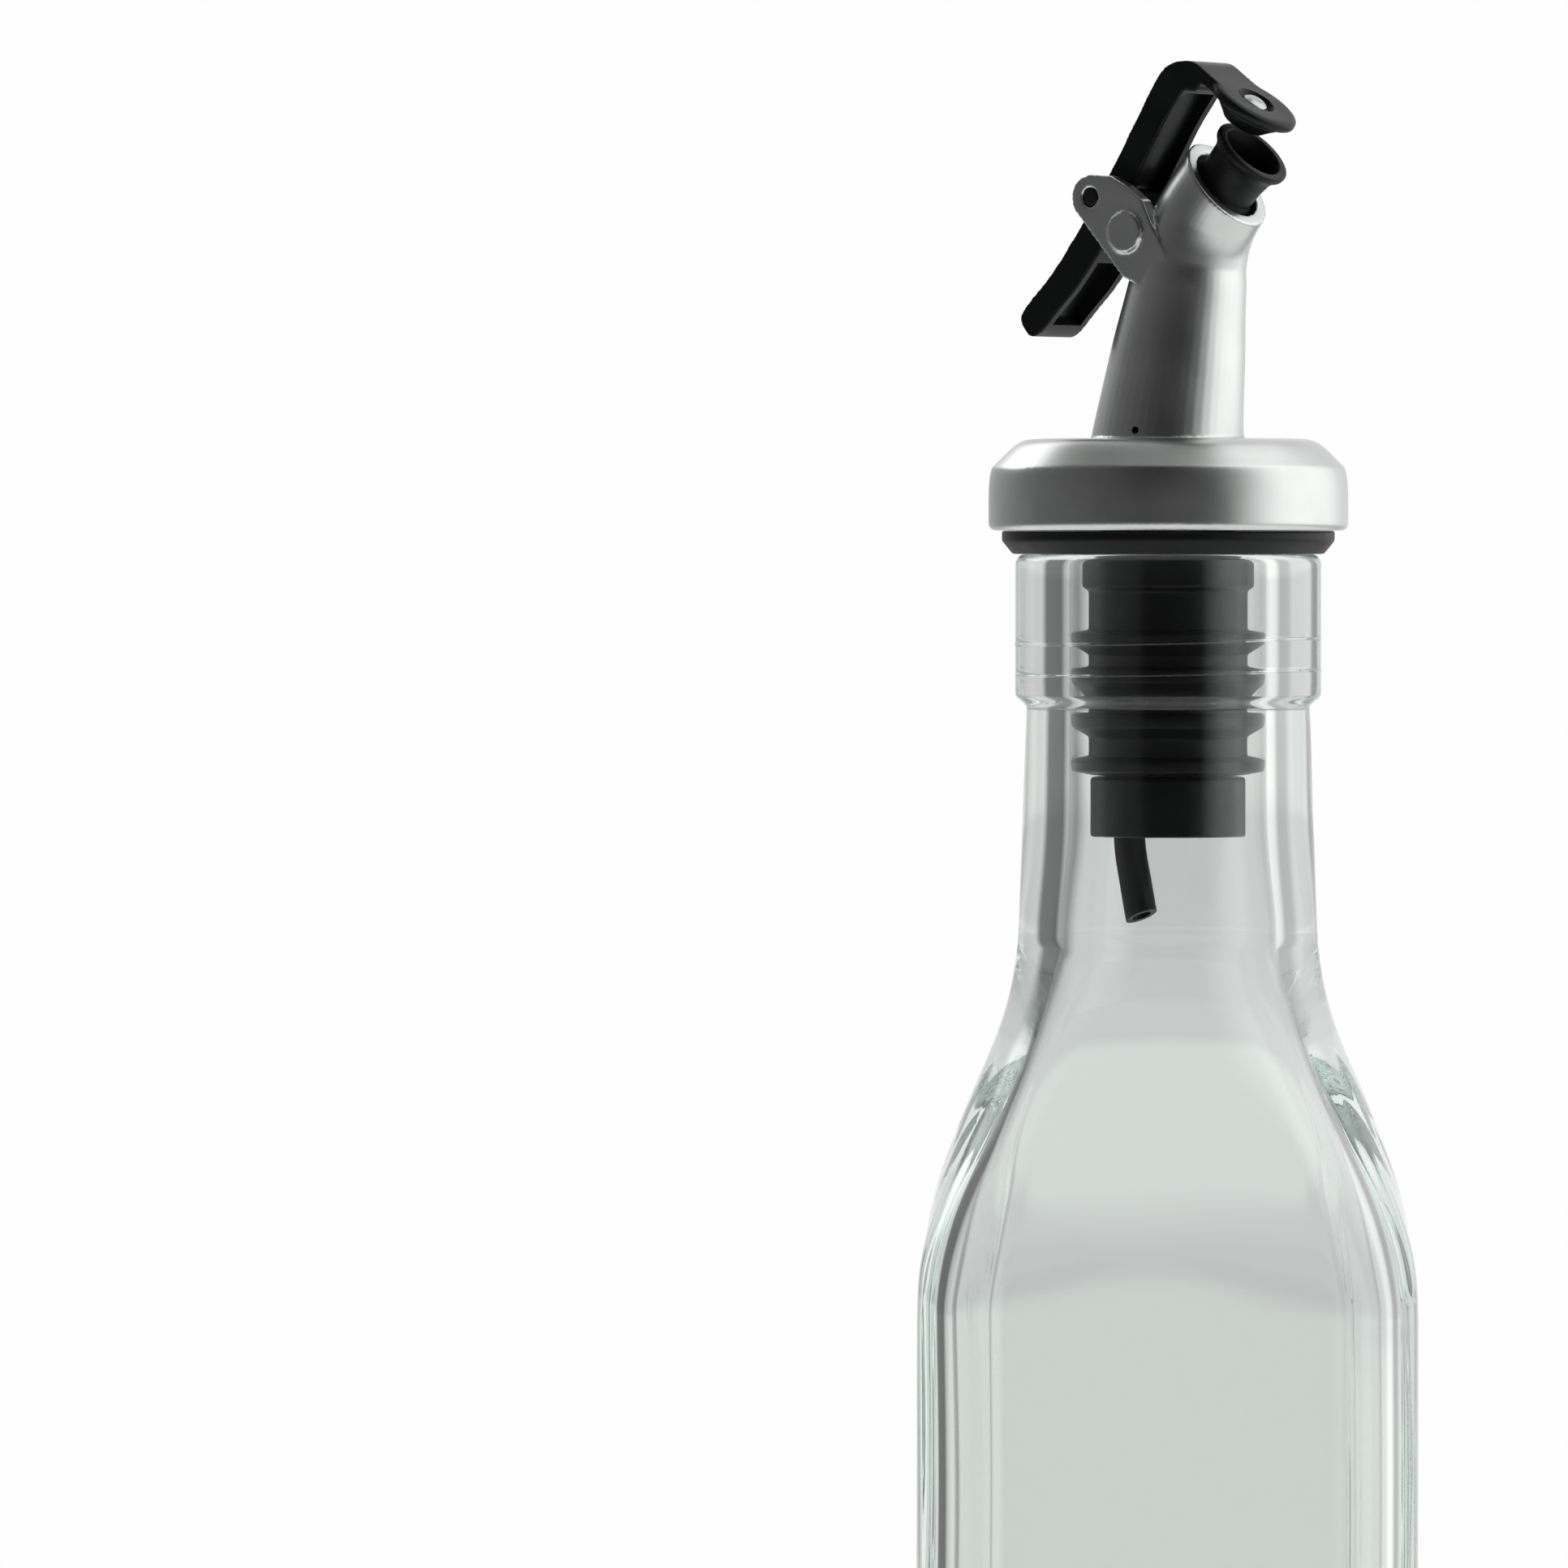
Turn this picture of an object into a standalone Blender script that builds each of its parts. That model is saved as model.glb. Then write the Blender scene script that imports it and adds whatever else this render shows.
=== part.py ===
"""Square glass oil bottle with a lever-capped pourer.

The bottle stands on z = 0 with its axis on the Z axis and two of its flat sides facing
-Y and +Y. The pourer turns freely in the neck, and is made turned by POURER_YAW_DEG, so that
its spout points between +X and -Y. Pourer pieces are made in the pourer's own frame: x runs
towards the spout, y across it and z up. The lever is made with its cap shut and is then
swung open about its pin by LEVER_OPEN_DEG.
"""
import math

import bmesh
import bpy
import numpy as np
from mathutils import Matrix, Vector

MM = 0.001
GAP = 0.3 * MM
MERGE = 0.00005

# Bottle.
BOTTLE_HEIGHT = 209.0 * MM
BODY_HALF = 23.0 * MM
BODY_CORNER = 7.0 * MM
WALL = 3.0 * MM
INNER_CORNER = 5.0 * MM
HEEL_RADIUS = 5.5 * MM
FLOOR_HEIGHT = 5.2 * MM
FLOOR_RADIUS = 5.0 * MM
PUSH_UP_HALF = 13.5 * MM
PUSH_UP_HEIGHT = 1.8 * MM
RING_RADIUS = 14.25 * MM
RING_HEIGHT = 13.8 * MM
NECK_TOP_RADIUS = 13.2 * MM
NECK_FOOT_RADIUS = 14.1 * MM
NECK_FOOT_DEPTH = 40.0 * MM
SHOULDER_DEPTH = 67.0 * MM
BORE_RADIUS = 9.25 * MM
BORE_DEPTH = 24.0 * MM
RIM_CHAMFER = 0.7 * MM

# Pourer.
POURER_YAW_DEG = -36.0
SLEEVE_RADIUS = 7.4 * MM
SLEEVE_TOP_RADIUS = 8.0 * MM
SLEEVE_BORE = 6.2 * MM
SLEEVE_LENGTH = 20.6 * MM
RIB_RADIUS = 9.1 * MM
RIB_DEPTHS = (7.3 * MM, 10.7 * MM, 15.1 * MM, 19.2 * MM)
RIB_LAND = 1.1 * MM
RIB_CONE = 0.9 * MM
FLANGE_RADIUS = 15.5 * MM
FLANGE_BOTTOM = 0.15 * MM
FLANGE_TOP = 1.9 * MM
CORE_RADIUS = 5.9 * MM
CORE_FOOT_RADIUS = 7.24 * MM
CORE_FOOT_DEPTH = 26.2 * MM
CORE_DISC_RADIUS = 14.9 * MM
CORE_DISC_BOTTOM = 2.2 * MM
CORE_DISC_TOP = 4.4 * MM
OIL_BORE_RADIUS = 3.2 * MM
OIL_BORE_X = 1.5 * MM
AIR_BORE_RADIUS = 1.1 * MM
AIR_BORE_X = -4.1 * MM
AIR_TUBE_RADIUS = 1.55 * MM
AIR_TUBE_BORE = 0.95 * MM
AIR_TUBE_X = -4.6 * MM
AIR_TUBE_REACH = 8.0 * MM
AIR_TUBE_LEAN_DEG = 12.0
AIR_TUBE_CUT_DEG = 29.0
AIR_SOCKET_DEPTH = 4.2 * MM
OIL_TUBE_RADIUS = 2.45 * MM
OIL_TUBE_BORE = 1.9 * MM

# Housing: collar, dome, spout and ears in one moulding. Heights are above the bottle's rim.
COLLAR_RADIUS = 16.75 * MM
COLLAR_BOTTOM = 2.2 * MM
COLLAR_CHAMFER = 0.85 * MM
COLLAR_BORE = 15.3 * MM
DOME_TOP = 10.75 * MM
DOME_FILLET = 3.7 * MM
DOME_WALL = 1.3 * MM
SPOUT_WALL = 1.05 * MM
SPOUT_TIP_RADIUS = 4.65 * MM
SPOUT_TIP_BORE = 3.9 * MM
SPOUT_TIP_TILT_DEG = 55.0
VENT_RADIUS = 0.35 * MM
VENT_HEIGHT = 0.6 * MM
VENT_ANGLE_DEG = -80.0

# The mouth, the lever's pin and the cap are given in (x, z) from the dome's top centre.
MOUTH_X = 6.7 * MM
MOUTH_Z = 23.6 * MM
MOUTH_TILT_DEG = 37.5
NOZZLE_TILT_DEG = 44.0
NOZZLE_LENGTH = 4.2 * MM
PIN_X = -5.3 * MM
PIN_Z = 22.45 * MM
PIN_RADIUS = 0.8 * MM
EAR_INNER = 3.7 * MM
EAR_OUTER = 5.2 * MM
EAR_END_RADIUS = 2.1 * MM
EAR_PAD_RADIUS = 1.9 * MM
EAR_PAD_RISE = 0.35 * MM
EAR_PAD_X = -1.2 * MM
EAR_PAD_Z = 19.15 * MM
LEVER_OPEN_DEG = 11.0
LEVER_HALF = 3.1 * MM
HUB_HALF = 3.4 * MM
HUB_RADIUS = 1.8 * MM
CAP_RADIUS = 4.3 * MM
CAP_THICKNESS = 1.1 * MM
CAP_STANDOFF = 2.4 * MM
HEAD_INSET = 0.12 * MM
POCKET_HALF = 2.1 * MM
SEAL_RADIUS = 3.3 * MM
SEAL_TIP_RADIUS = 2.0 * MM
SEAL_TOP = -1.25 * MM
SEAL_BOTTOM = -2.5 * MM
RIVET_RADIUS = 0.7 * MM
RIVET_HEAD_RADIUS = 1.25 * MM
RIVET_TAIL_TOP = -2.56 * MM
RIVET_TAIL_END = -2.75 * MM
CAP_DISH_RADIUS = 1.9 * MM

RING_STEPS = 40
SMALL_STEPS = 24
RIM_Z = BOTTLE_HEIGHT
DOME_Z = BOTTLE_HEIGHT + DOME_TOP


# ---------------------------------------------------------------- scene and helpers
def start_collections():
    for old in list(bpy.data.objects):
        bpy.data.objects.remove(old, do_unlink=True)
    parts = bpy.data.collections.new("glass_oil_bottle")
    cutters = bpy.data.collections.new("cutters")
    bpy.context.scene.collection.children.link(parts)
    bpy.context.scene.collection.children.link(cutters)
    return parts, cutters


PARTS, CUTTERS = start_collections()


def make_material(name, colour, roughness, metallic=0.0, alpha=1.0):
    material = bpy.data.materials.new(name)
    material.use_nodes = True
    shader = material.node_tree.nodes["Principled BSDF"]
    shader.inputs["Base Color"].default_value = (*colour, 1.0)
    shader.inputs["Roughness"].default_value = roughness
    shader.inputs["Metallic"].default_value = metallic
    shader.inputs["Alpha"].default_value = alpha
    return material


GLASS = make_material("flint_glass", (0.80, 0.86, 0.83), 0.03, alpha=0.35)
SATIN_METAL = make_material("satin_chrome", (0.62, 0.64, 0.63), 0.28, metallic=1.0)
BLACK_PLASTIC = make_material("black_plastic", (0.012, 0.013, 0.013), 0.38)
BLACK_SILICONE = make_material("black_silicone", (0.018, 0.019, 0.019), 0.55)
BLACK_STEEL = make_material("black_steel", (0.02, 0.02, 0.02), 0.35, metallic=1.0)
BRIGHT_STEEL = make_material("bright_steel", (0.66, 0.69, 0.67), 0.22, metallic=1.0)


def frame_empty(name, location, turn_deg=0.0, axis="Z", parent=None):
    empty = bpy.data.objects.new(name, None)
    empty.location = location
    empty.rotation_euler = Matrix.Rotation(math.radians(turn_deg), 3, axis).to_euler()
    empty.parent = parent
    empty.hide_render = True
    CUTTERS.objects.link(empty)
    return empty


def object_from_mesh(name, mesh, material=None, parent=None, cutter=False):
    made = bpy.data.objects.new(name, mesh)
    made.parent = parent
    if cutter:
        CUTTERS.objects.link(made)
        made.hide_render = True
        made.display_type = "WIRE"
    else:
        PARTS.objects.link(made)
        mesh.materials.append(material)
        mesh.shade_smooth()
        mesh.set_sharp_from_angle(angle=math.radians(35.0))
    return made


def mesh_from_bmesh(name, bm):
    bmesh.ops.recalc_face_normals(bm, faces=bm.faces)
    mesh = bpy.data.meshes.new(name)
    bm.to_mesh(mesh)
    bm.free()
    return mesh


def evaluated_mesh(source, name):
    """The mesh of an object with its modifiers done, in its own frame; the object is removed."""
    bpy.context.view_layer.update()
    depsgraph = bpy.context.evaluated_depsgraph_get()
    mesh = bpy.data.meshes.new_from_object(source.evaluated_get(depsgraph))
    mesh.name = name
    bm = bmesh.new()
    bm.from_mesh(mesh)
    bmesh.ops.remove_doubles(bm, verts=bm.verts, dist=MERGE * 0.1)
    bmesh.ops.recalc_face_normals(bm, faces=bm.faces)
    bm.to_mesh(mesh)
    bm.free()
    mesh.materials.clear()
    bpy.data.objects.remove(source, do_unlink=True)
    return mesh


def turned_mesh(name, outline, steps):
    """Turn a closed or axis-to-axis (radius, z) outline about Z with a Screw modifier."""
    touches_axis = outline[0][0] == 0.0
    bm = bmesh.new()
    verts = [bm.verts.new((radius, 0.0, z)) for radius, z in outline]
    for first, second in zip(verts, verts[1:]):
        bm.edges.new((first, second))
    if not touches_axis:
        bm.edges.new((verts[-1], verts[0]))
    profile = bpy.data.meshes.new(name + "_profile")
    bm.to_mesh(profile)
    bm.free()
    source = bpy.data.objects.new(name + "_source", profile)
    CUTTERS.objects.link(source)
    screw = source.modifiers.new("turn", "SCREW")
    screw.steps = steps
    screw.render_steps = steps
    screw.use_merge_vertices = True
    screw.merge_threshold = MERGE
    return evaluated_mesh(source, name)


def cylinder_mesh(name, radius, start, end, steps=SMALL_STEPS, end_radius=None):
    """A cylinder or cone between two points."""
    start = Vector(start)
    end = Vector(end)
    bm = bmesh.new()
    bmesh.ops.create_cone(
        bm, cap_ends=True, segments=steps, radius1=radius,
        radius2=radius if end_radius is None else end_radius, depth=(end - start).length,
    )
    turn = (end - start).to_track_quat("Z", "Y").to_matrix().to_4x4()
    bmesh.ops.transform(bm, verts=bm.verts, matrix=Matrix.Translation((start + end) / 2) @ turn)
    return mesh_from_bmesh(name, bm)


def tube_mesh(name, stations, bevel_resolution, resolution=3):
    """A closed round bar along (x, y, z, radius) stations on a smooth curve."""
    curve = bpy.data.curves.new(name + "_curve", "CURVE")
    curve.dimensions = "3D"
    curve.bevel_depth = MM
    curve.bevel_resolution = bevel_resolution
    curve.use_fill_caps = True
    curve.resolution_u = resolution
    curve.render_resolution_u = resolution
    spline = curve.splines.new("BEZIER")
    spline.bezier_points.add(len(stations) - 1)
    for point, (x, y, z, radius) in zip(spline.bezier_points, stations):
        point.co = (x, y, z)
        point.radius = radius / MM
        point.handle_left_type = "AUTO"
        point.handle_right_type = "AUTO"
    source = bpy.data.objects.new(name + "_source", curve)
    CUTTERS.objects.link(source)
    return evaluated_mesh(source, name)


def plate_mesh(name, outline, low_y, high_y, rounding=0.0):
    """A flat plate in the x-z plane between two y values, with softened edges."""
    curve = bpy.data.curves.new(name + "_curve", "CURVE")
    curve.dimensions = "2D"
    curve.fill_mode = "BOTH"
    curve.extrude = (high_y - low_y) / 2 - rounding
    curve.bevel_depth = rounding
    curve.bevel_resolution = 1
    curve.offset = -rounding
    spline = curve.splines.new("POLY")
    spline.points.add(len(outline) - 1)
    for point, (x, z) in zip(spline.points, outline):
        point.co = (x, z, 0.0, 1.0)
    spline.use_cyclic_u = True
    source = bpy.data.objects.new(name + "_source", curve)
    CUTTERS.objects.link(source)
    mesh = evaluated_mesh(source, name)
    stand_up = Matrix.Rotation(math.radians(90.0), 4, "X")
    mesh.transform(Matrix.Translation((0.0, (low_y + high_y) / 2, 0.0)) @ stand_up)
    return mesh


def apply_boolean(target, tool_mesh, operation):
    """Join or cut the target with a mesh made in the frame of the target's parent."""
    tool = object_from_mesh(target.name + "_tool", tool_mesh, parent=target.parent, cutter=True)
    boolean = target.modifiers.new(operation.lower(), "BOOLEAN")
    boolean.operation = operation
    boolean.solver = "EXACT"
    boolean.object = tool


def settle(target):
    """Replace a target's mesh by the result of its modifiers."""
    bpy.context.view_layer.update()
    depsgraph = bpy.context.evaluated_depsgraph_get()
    mesh = bpy.data.meshes.new_from_object(target.evaluated_get(depsgraph))
    tools = [modifier.object for modifier in target.modifiers if modifier.type == "BOOLEAN"]
    target.modifiers.clear()
    target.data = mesh
    for tool in tools:
        bpy.data.objects.remove(tool, do_unlink=True)
    bm = bmesh.new()
    bm.from_mesh(mesh)
    bmesh.ops.remove_doubles(bm, verts=bm.verts, dist=MERGE * 0.1)
    bmesh.ops.dissolve_degenerate(bm, edges=bm.edges, dist=MERGE * 0.1)
    bm.to_mesh(mesh)
    bm.free()
    mesh.shade_smooth()
    mesh.set_sharp_from_angle(angle=math.radians(35.0))


def arc(centre, radius, start_deg, end_deg, count):
    """Points of an arc in a plane, both ends included."""
    angles = np.linspace(math.radians(start_deg), math.radians(end_deg), count)
    return [
        (float(centre[0] + radius * math.cos(angle)), float(centre[1] + radius * math.sin(angle)))
        for angle in angles
    ]


# ---------------------------------------------------------------- bottle
QUARTER_ANGLES = (0.0, 12.0, 24.0, 34.8, 39.9, 45.0, 50.1, 55.2, 66.0, 78.0)


def square_radius(angle, half, corner):
    """Distance from the centre to the edge of a square with round corners."""
    folded = angle % (math.pi / 2)
    folded = min(folded, math.pi / 2 - folded)
    flat = half - corner
    if half * math.tan(folded) <= flat:
        return half / math.cos(folded)
    along = math.cos(folded) + math.sin(folded)
    across = math.cos(folded) - math.sin(folded)
    return flat * along + math.sqrt(corner ** 2 - (flat * across) ** 2)


def section_ring(half, z, squareness, corner):
    """A ring of points between a circle (squareness 0) and a rounded square (1)."""
    points = []
    for quarter in range(4):
        for step in QUARTER_ANGLES:
            angle = math.radians(90.0 * quarter + step)
            square = square_radius(angle, half, min(corner, half * 0.99))
            radius = half + squareness * (square - half)
            points.append((radius * math.cos(angle), radius * math.sin(angle), z))
    return points


def smooth(value):
    value = min(max(value, 0.0), 1.0)
    return value * value * (3.0 - 2.0 * value)


def shoulder_half(depth, top, foot, start, end):
    """Half width across the shoulder: a quick start, then an easing into the flat sides."""
    share = min(max((depth - start) / (end - start), 0.0), 1.0)
    return top + (foot - top) * (math.sin(share * math.pi / 2) * 0.62 + smooth(share) * 0.38)


def bottle_rings():
    """Rings (half, z, squareness, corner) from the underside, over the rim, to the floor."""
    rings = [
        (5.0 * MM, PUSH_UP_HEIGHT, 0.0, BODY_CORNER),
        (PUSH_UP_HALF - 2.0 * MM, PUSH_UP_HEIGHT * 0.9, 0.6, BODY_CORNER),
        (PUSH_UP_HALF, 0.0, 0.9, BODY_CORNER),
    ]
    heel = arc((BODY_HALF - HEEL_RADIUS, HEEL_RADIUS), HEEL_RADIUS, -90.0, 0.0, 6)
    rings += [(half, z, 1.0, BODY_CORNER) for half, z in heel]
    shoulder_start = NECK_FOOT_DEPTH
    for depth in np.linspace(SHOULDER_DEPTH, shoulder_start, 12):
        half = shoulder_half(float(depth), NECK_FOOT_RADIUS, BODY_HALF, shoulder_start, SHOULDER_DEPTH)
        squareness = smooth((float(depth) - shoulder_start) / (SHOULDER_DEPTH - shoulder_start))
        rings.append((half, RIM_Z - float(depth), squareness, BODY_CORNER))
    rings += [
        (NECK_TOP_RADIUS, RIM_Z - RING_HEIGHT - 0.5 * MM, 0.0, BODY_CORNER),
        (RING_RADIUS, RIM_Z - RING_HEIGHT + 0.8 * MM, 0.0, BODY_CORNER),
        (RING_RADIUS, RIM_Z - RIM_CHAMFER, 0.0, BODY_CORNER),
        (RING_RADIUS - RIM_CHAMFER, RIM_Z, 0.0, BODY_CORNER),
        (BORE_RADIUS + RIM_CHAMFER, RIM_Z, 0.0, INNER_CORNER),
        (BORE_RADIUS, RIM_Z - RIM_CHAMFER, 0.0, INNER_CORNER),
        (BORE_RADIUS, RIM_Z - BORE_DEPTH, 0.0, INNER_CORNER),
    ]
    inner_start = NECK_FOOT_DEPTH - 4.0 * MM
    inner_end = SHOULDER_DEPTH + 3.0 * MM
    for depth in np.linspace(inner_start, inner_end, 11):
        half = shoulder_half(
            float(depth), BORE_RADIUS + 0.9 * MM, BODY_HALF - WALL, inner_start, inner_end
        )
        squareness = smooth((float(depth) - inner_start) / (inner_end - inner_start))
        rings.append((half, RIM_Z - float(depth), squareness, INNER_CORNER))
    floor_edge = BODY_HALF - WALL - FLOOR_RADIUS
    floor = arc((floor_edge, FLOOR_HEIGHT + FLOOR_RADIUS), FLOOR_RADIUS, 0.0, -90.0, 5)
    rings += [(half, z, 1.0, INNER_CORNER) for half, z in floor]
    rings += [
        (PUSH_UP_HALF - 3.0 * MM, FLOOR_HEIGHT + PUSH_UP_HEIGHT * 0.8, 0.6, INNER_CORNER),
        (5.0 * MM, FLOOR_HEIGHT + PUSH_UP_HEIGHT, 0.0, INNER_CORNER),
    ]
    return rings


def make_bottle():
    bm = bmesh.new()
    loops = [
        [bm.verts.new(point) for point in section_ring(half, z, squareness, corner)]
        for half, z, squareness, corner in bottle_rings()
    ]
    for lower, upper in zip(loops, loops[1:]):
        for index in range(len(lower)):
            after = (index + 1) % len(lower)
            bm.faces.new((lower[index], lower[after], upper[after], upper[index]))
    bm.faces.new(reversed(loops[0]))
    bm.faces.new(loops[-1])
    object_from_mesh("glass_bottle", mesh_from_bmesh("glass_bottle", bm), GLASS)


# ---------------------------------------------------------------- stopper
def make_sleeve(parent):
    outline = [(SLEEVE_BORE, FLANGE_TOP), (FLANGE_RADIUS, FLANGE_TOP)]
    outline += [(FLANGE_RADIUS, FLANGE_BOTTOM), (SLEEVE_TOP_RADIUS, FLANGE_BOTTOM)]
    outline += [(SLEEVE_TOP_RADIUS, -3.0 * MM), (SLEEVE_RADIUS, -3.4 * MM)]
    for depth in RIB_DEPTHS:
        outline += [(SLEEVE_RADIUS, -depth + 0.25 * MM), (RIB_RADIUS, -depth)]
        if depth != RIB_DEPTHS[-1]:
            outline.append((RIB_RADIUS, -depth - RIB_LAND))
            outline.append((SLEEVE_RADIUS, -depth - RIB_LAND - RIB_CONE))
    outline += [(RIB_RADIUS, -SLEEVE_LENGTH + 0.4 * MM), (SLEEVE_RADIUS, -SLEEVE_LENGTH)]
    outline.append((SLEEVE_BORE, -SLEEVE_LENGTH))
    mesh = turned_mesh("stopper_sleeve", outline, RING_STEPS)
    object_from_mesh("stopper_sleeve", mesh, BLACK_SILICONE, parent)


def make_core(parent):
    foot_top = -SLEEVE_LENGTH - GAP
    pilot = 0.3 * OIL_BORE_RADIUS
    outline = [
        (pilot, CORE_DISC_TOP), (CORE_DISC_RADIUS, CORE_DISC_TOP),
        (CORE_DISC_RADIUS, CORE_DISC_BOTTOM), (CORE_RADIUS, CORE_DISC_BOTTOM),
        (CORE_RADIUS, foot_top), (CORE_FOOT_RADIUS, foot_top),
        (CORE_FOOT_RADIUS, -CORE_FOOT_DEPTH + 0.4 * MM),
        (CORE_FOOT_RADIUS - 0.4 * MM, -CORE_FOOT_DEPTH), (pilot, -CORE_FOOT_DEPTH),
    ]
    core = object_from_mesh(
        "stopper_core", turned_mesh("stopper_core", outline, RING_STEPS), BLACK_PLASTIC, parent
    )
    below = -CORE_FOOT_DEPTH - MM
    above = CORE_DISC_TOP + MM
    oil = cylinder_mesh(
        "oil_bore", OIL_BORE_RADIUS, (OIL_BORE_X, 0.0, below), (OIL_BORE_X, 0.0, above)
    )
    air = cylinder_mesh(
        "air_bore", AIR_BORE_RADIUS, (AIR_BORE_X, 0.0, below), (AIR_BORE_X, 0.0, above), 12
    )
    socket_top = -CORE_FOOT_DEPTH + AIR_SOCKET_DEPTH
    socket = cylinder_mesh(
        "air_socket", AIR_TUBE_RADIUS + 0.2 * MM,
        (AIR_TUBE_X, 0.0, below), (AIR_TUBE_X, 0.0, socket_top), 16,
    )
    for cutter in (oil, air, socket):
        apply_boolean(core, cutter, "DIFFERENCE")
        settle(core)


def make_air_tube(parent):
    """A short tube that leans in from its socket in the core's foot, with a slanted end."""
    top = -CORE_FOOT_DEPTH + AIR_SOCKET_DEPTH - GAP
    lean = math.tan(math.radians(AIR_TUBE_LEAN_DEG))

    def leaning(depth, radius):
        return (AIR_TUBE_X + depth * lean, 0.0, -CORE_FOOT_DEPTH - GAP - depth, radius)

    depths = (0.0, AIR_TUBE_REACH / 2, AIR_TUBE_REACH)
    stations = [(AIR_TUBE_X, 0.0, top, AIR_TUBE_RADIUS)]
    stations += [leaning(depth, AIR_TUBE_RADIUS) for depth in depths]
    tube = object_from_mesh(
        "air_tube", tube_mesh("air_tube", stations, 5, 3), BLACK_SILICONE, parent
    )
    inner = [(AIR_TUBE_X, 0.0, top + MM, AIR_TUBE_BORE)]
    inner += [leaning(depth, AIR_TUBE_BORE) for depth in (*depths[:2], AIR_TUBE_REACH + 2.0 * MM)]
    apply_boolean(tube, tube_mesh("air_tube_bore", inner, 3, 3), "DIFFERENCE")
    cut_at = Vector(leaning(AIR_TUBE_REACH - 0.9 * MM, 0.0)[:3])
    end_cut = cylinder_mesh(
        "air_tube_end", 5.0 * MM, cut_at, cut_at + rising(AIR_TUBE_CUT_DEG - 90.0) * 6.0 * MM, 8
    )
    settle(tube)
    apply_boolean(tube, end_cut, "DIFFERENCE")
    settle(tube)


# ---------------------------------------------------------------- housing
def rising(tilt_deg):
    """A unit vector towards the spout's side, tilt_deg above level."""
    tilt = math.radians(tilt_deg)
    return Vector((math.cos(tilt), 0.0, math.sin(tilt)))


def mouth_centre():
    return Vector((MOUTH_X, 0.0, DOME_TOP + MOUTH_Z))


# Centre x, centre height above the dome and outer radius up the spout; the mouth follows.
SPOUT_STATIONS = (
    (0.0 * MM, 0.0 * MM, 7.15 * MM), (1.1 * MM, 7.5 * MM, 6.3 * MM),
    (2.2 * MM, 14.0 * MM, 5.5 * MM), (2.75 * MM, 17.0 * MM, 5.15 * MM),
    (4.3 * MM, 20.4 * MM, 4.8 * MM),
)


def spout_bar(name, shrink, tip_radius, below, bevel_resolution):
    """The spout as a solid bar that runs on past the mouth, where a slanted cut ends it."""
    stations = [(0.0, 0.0, DOME_TOP - below, SPOUT_STATIONS[0][2] - shrink)]
    stations += [(x, 0.0, DOME_TOP + z, radius - shrink) for x, z, radius in SPOUT_STATIONS]
    stations.append((*mouth_centre(), tip_radius))
    stations.append((*(mouth_centre() + rising(SPOUT_TIP_TILT_DEG) * 4.0 * MM), tip_radius))
    return tube_mesh(name, stations, bevel_resolution, 2)


def ear_outline():
    """The ear's outline in (x, height above the rim): a round end on a tapering plate."""
    pin = (PIN_X, DOME_TOP + PIN_Z)
    outline = arc(pin, EAR_END_RADIUS, 80.0, 222.0, 8)
    outline += [
        (-1.6 * MM, DOME_TOP + 15.0 * MM), (1.5 * MM, DOME_TOP + 13.6 * MM),
        (3.4 * MM, DOME_TOP + 17.0 * MM), (1.7 * MM, DOME_TOP + 20.0 * MM),
        (0.7 * MM, DOME_TOP + 22.1 * MM), (-1.2 * MM, DOME_TOP + 23.5 * MM),
        (-3.0 * MM, DOME_TOP + 24.4 * MM),
    ]
    return outline


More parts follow.
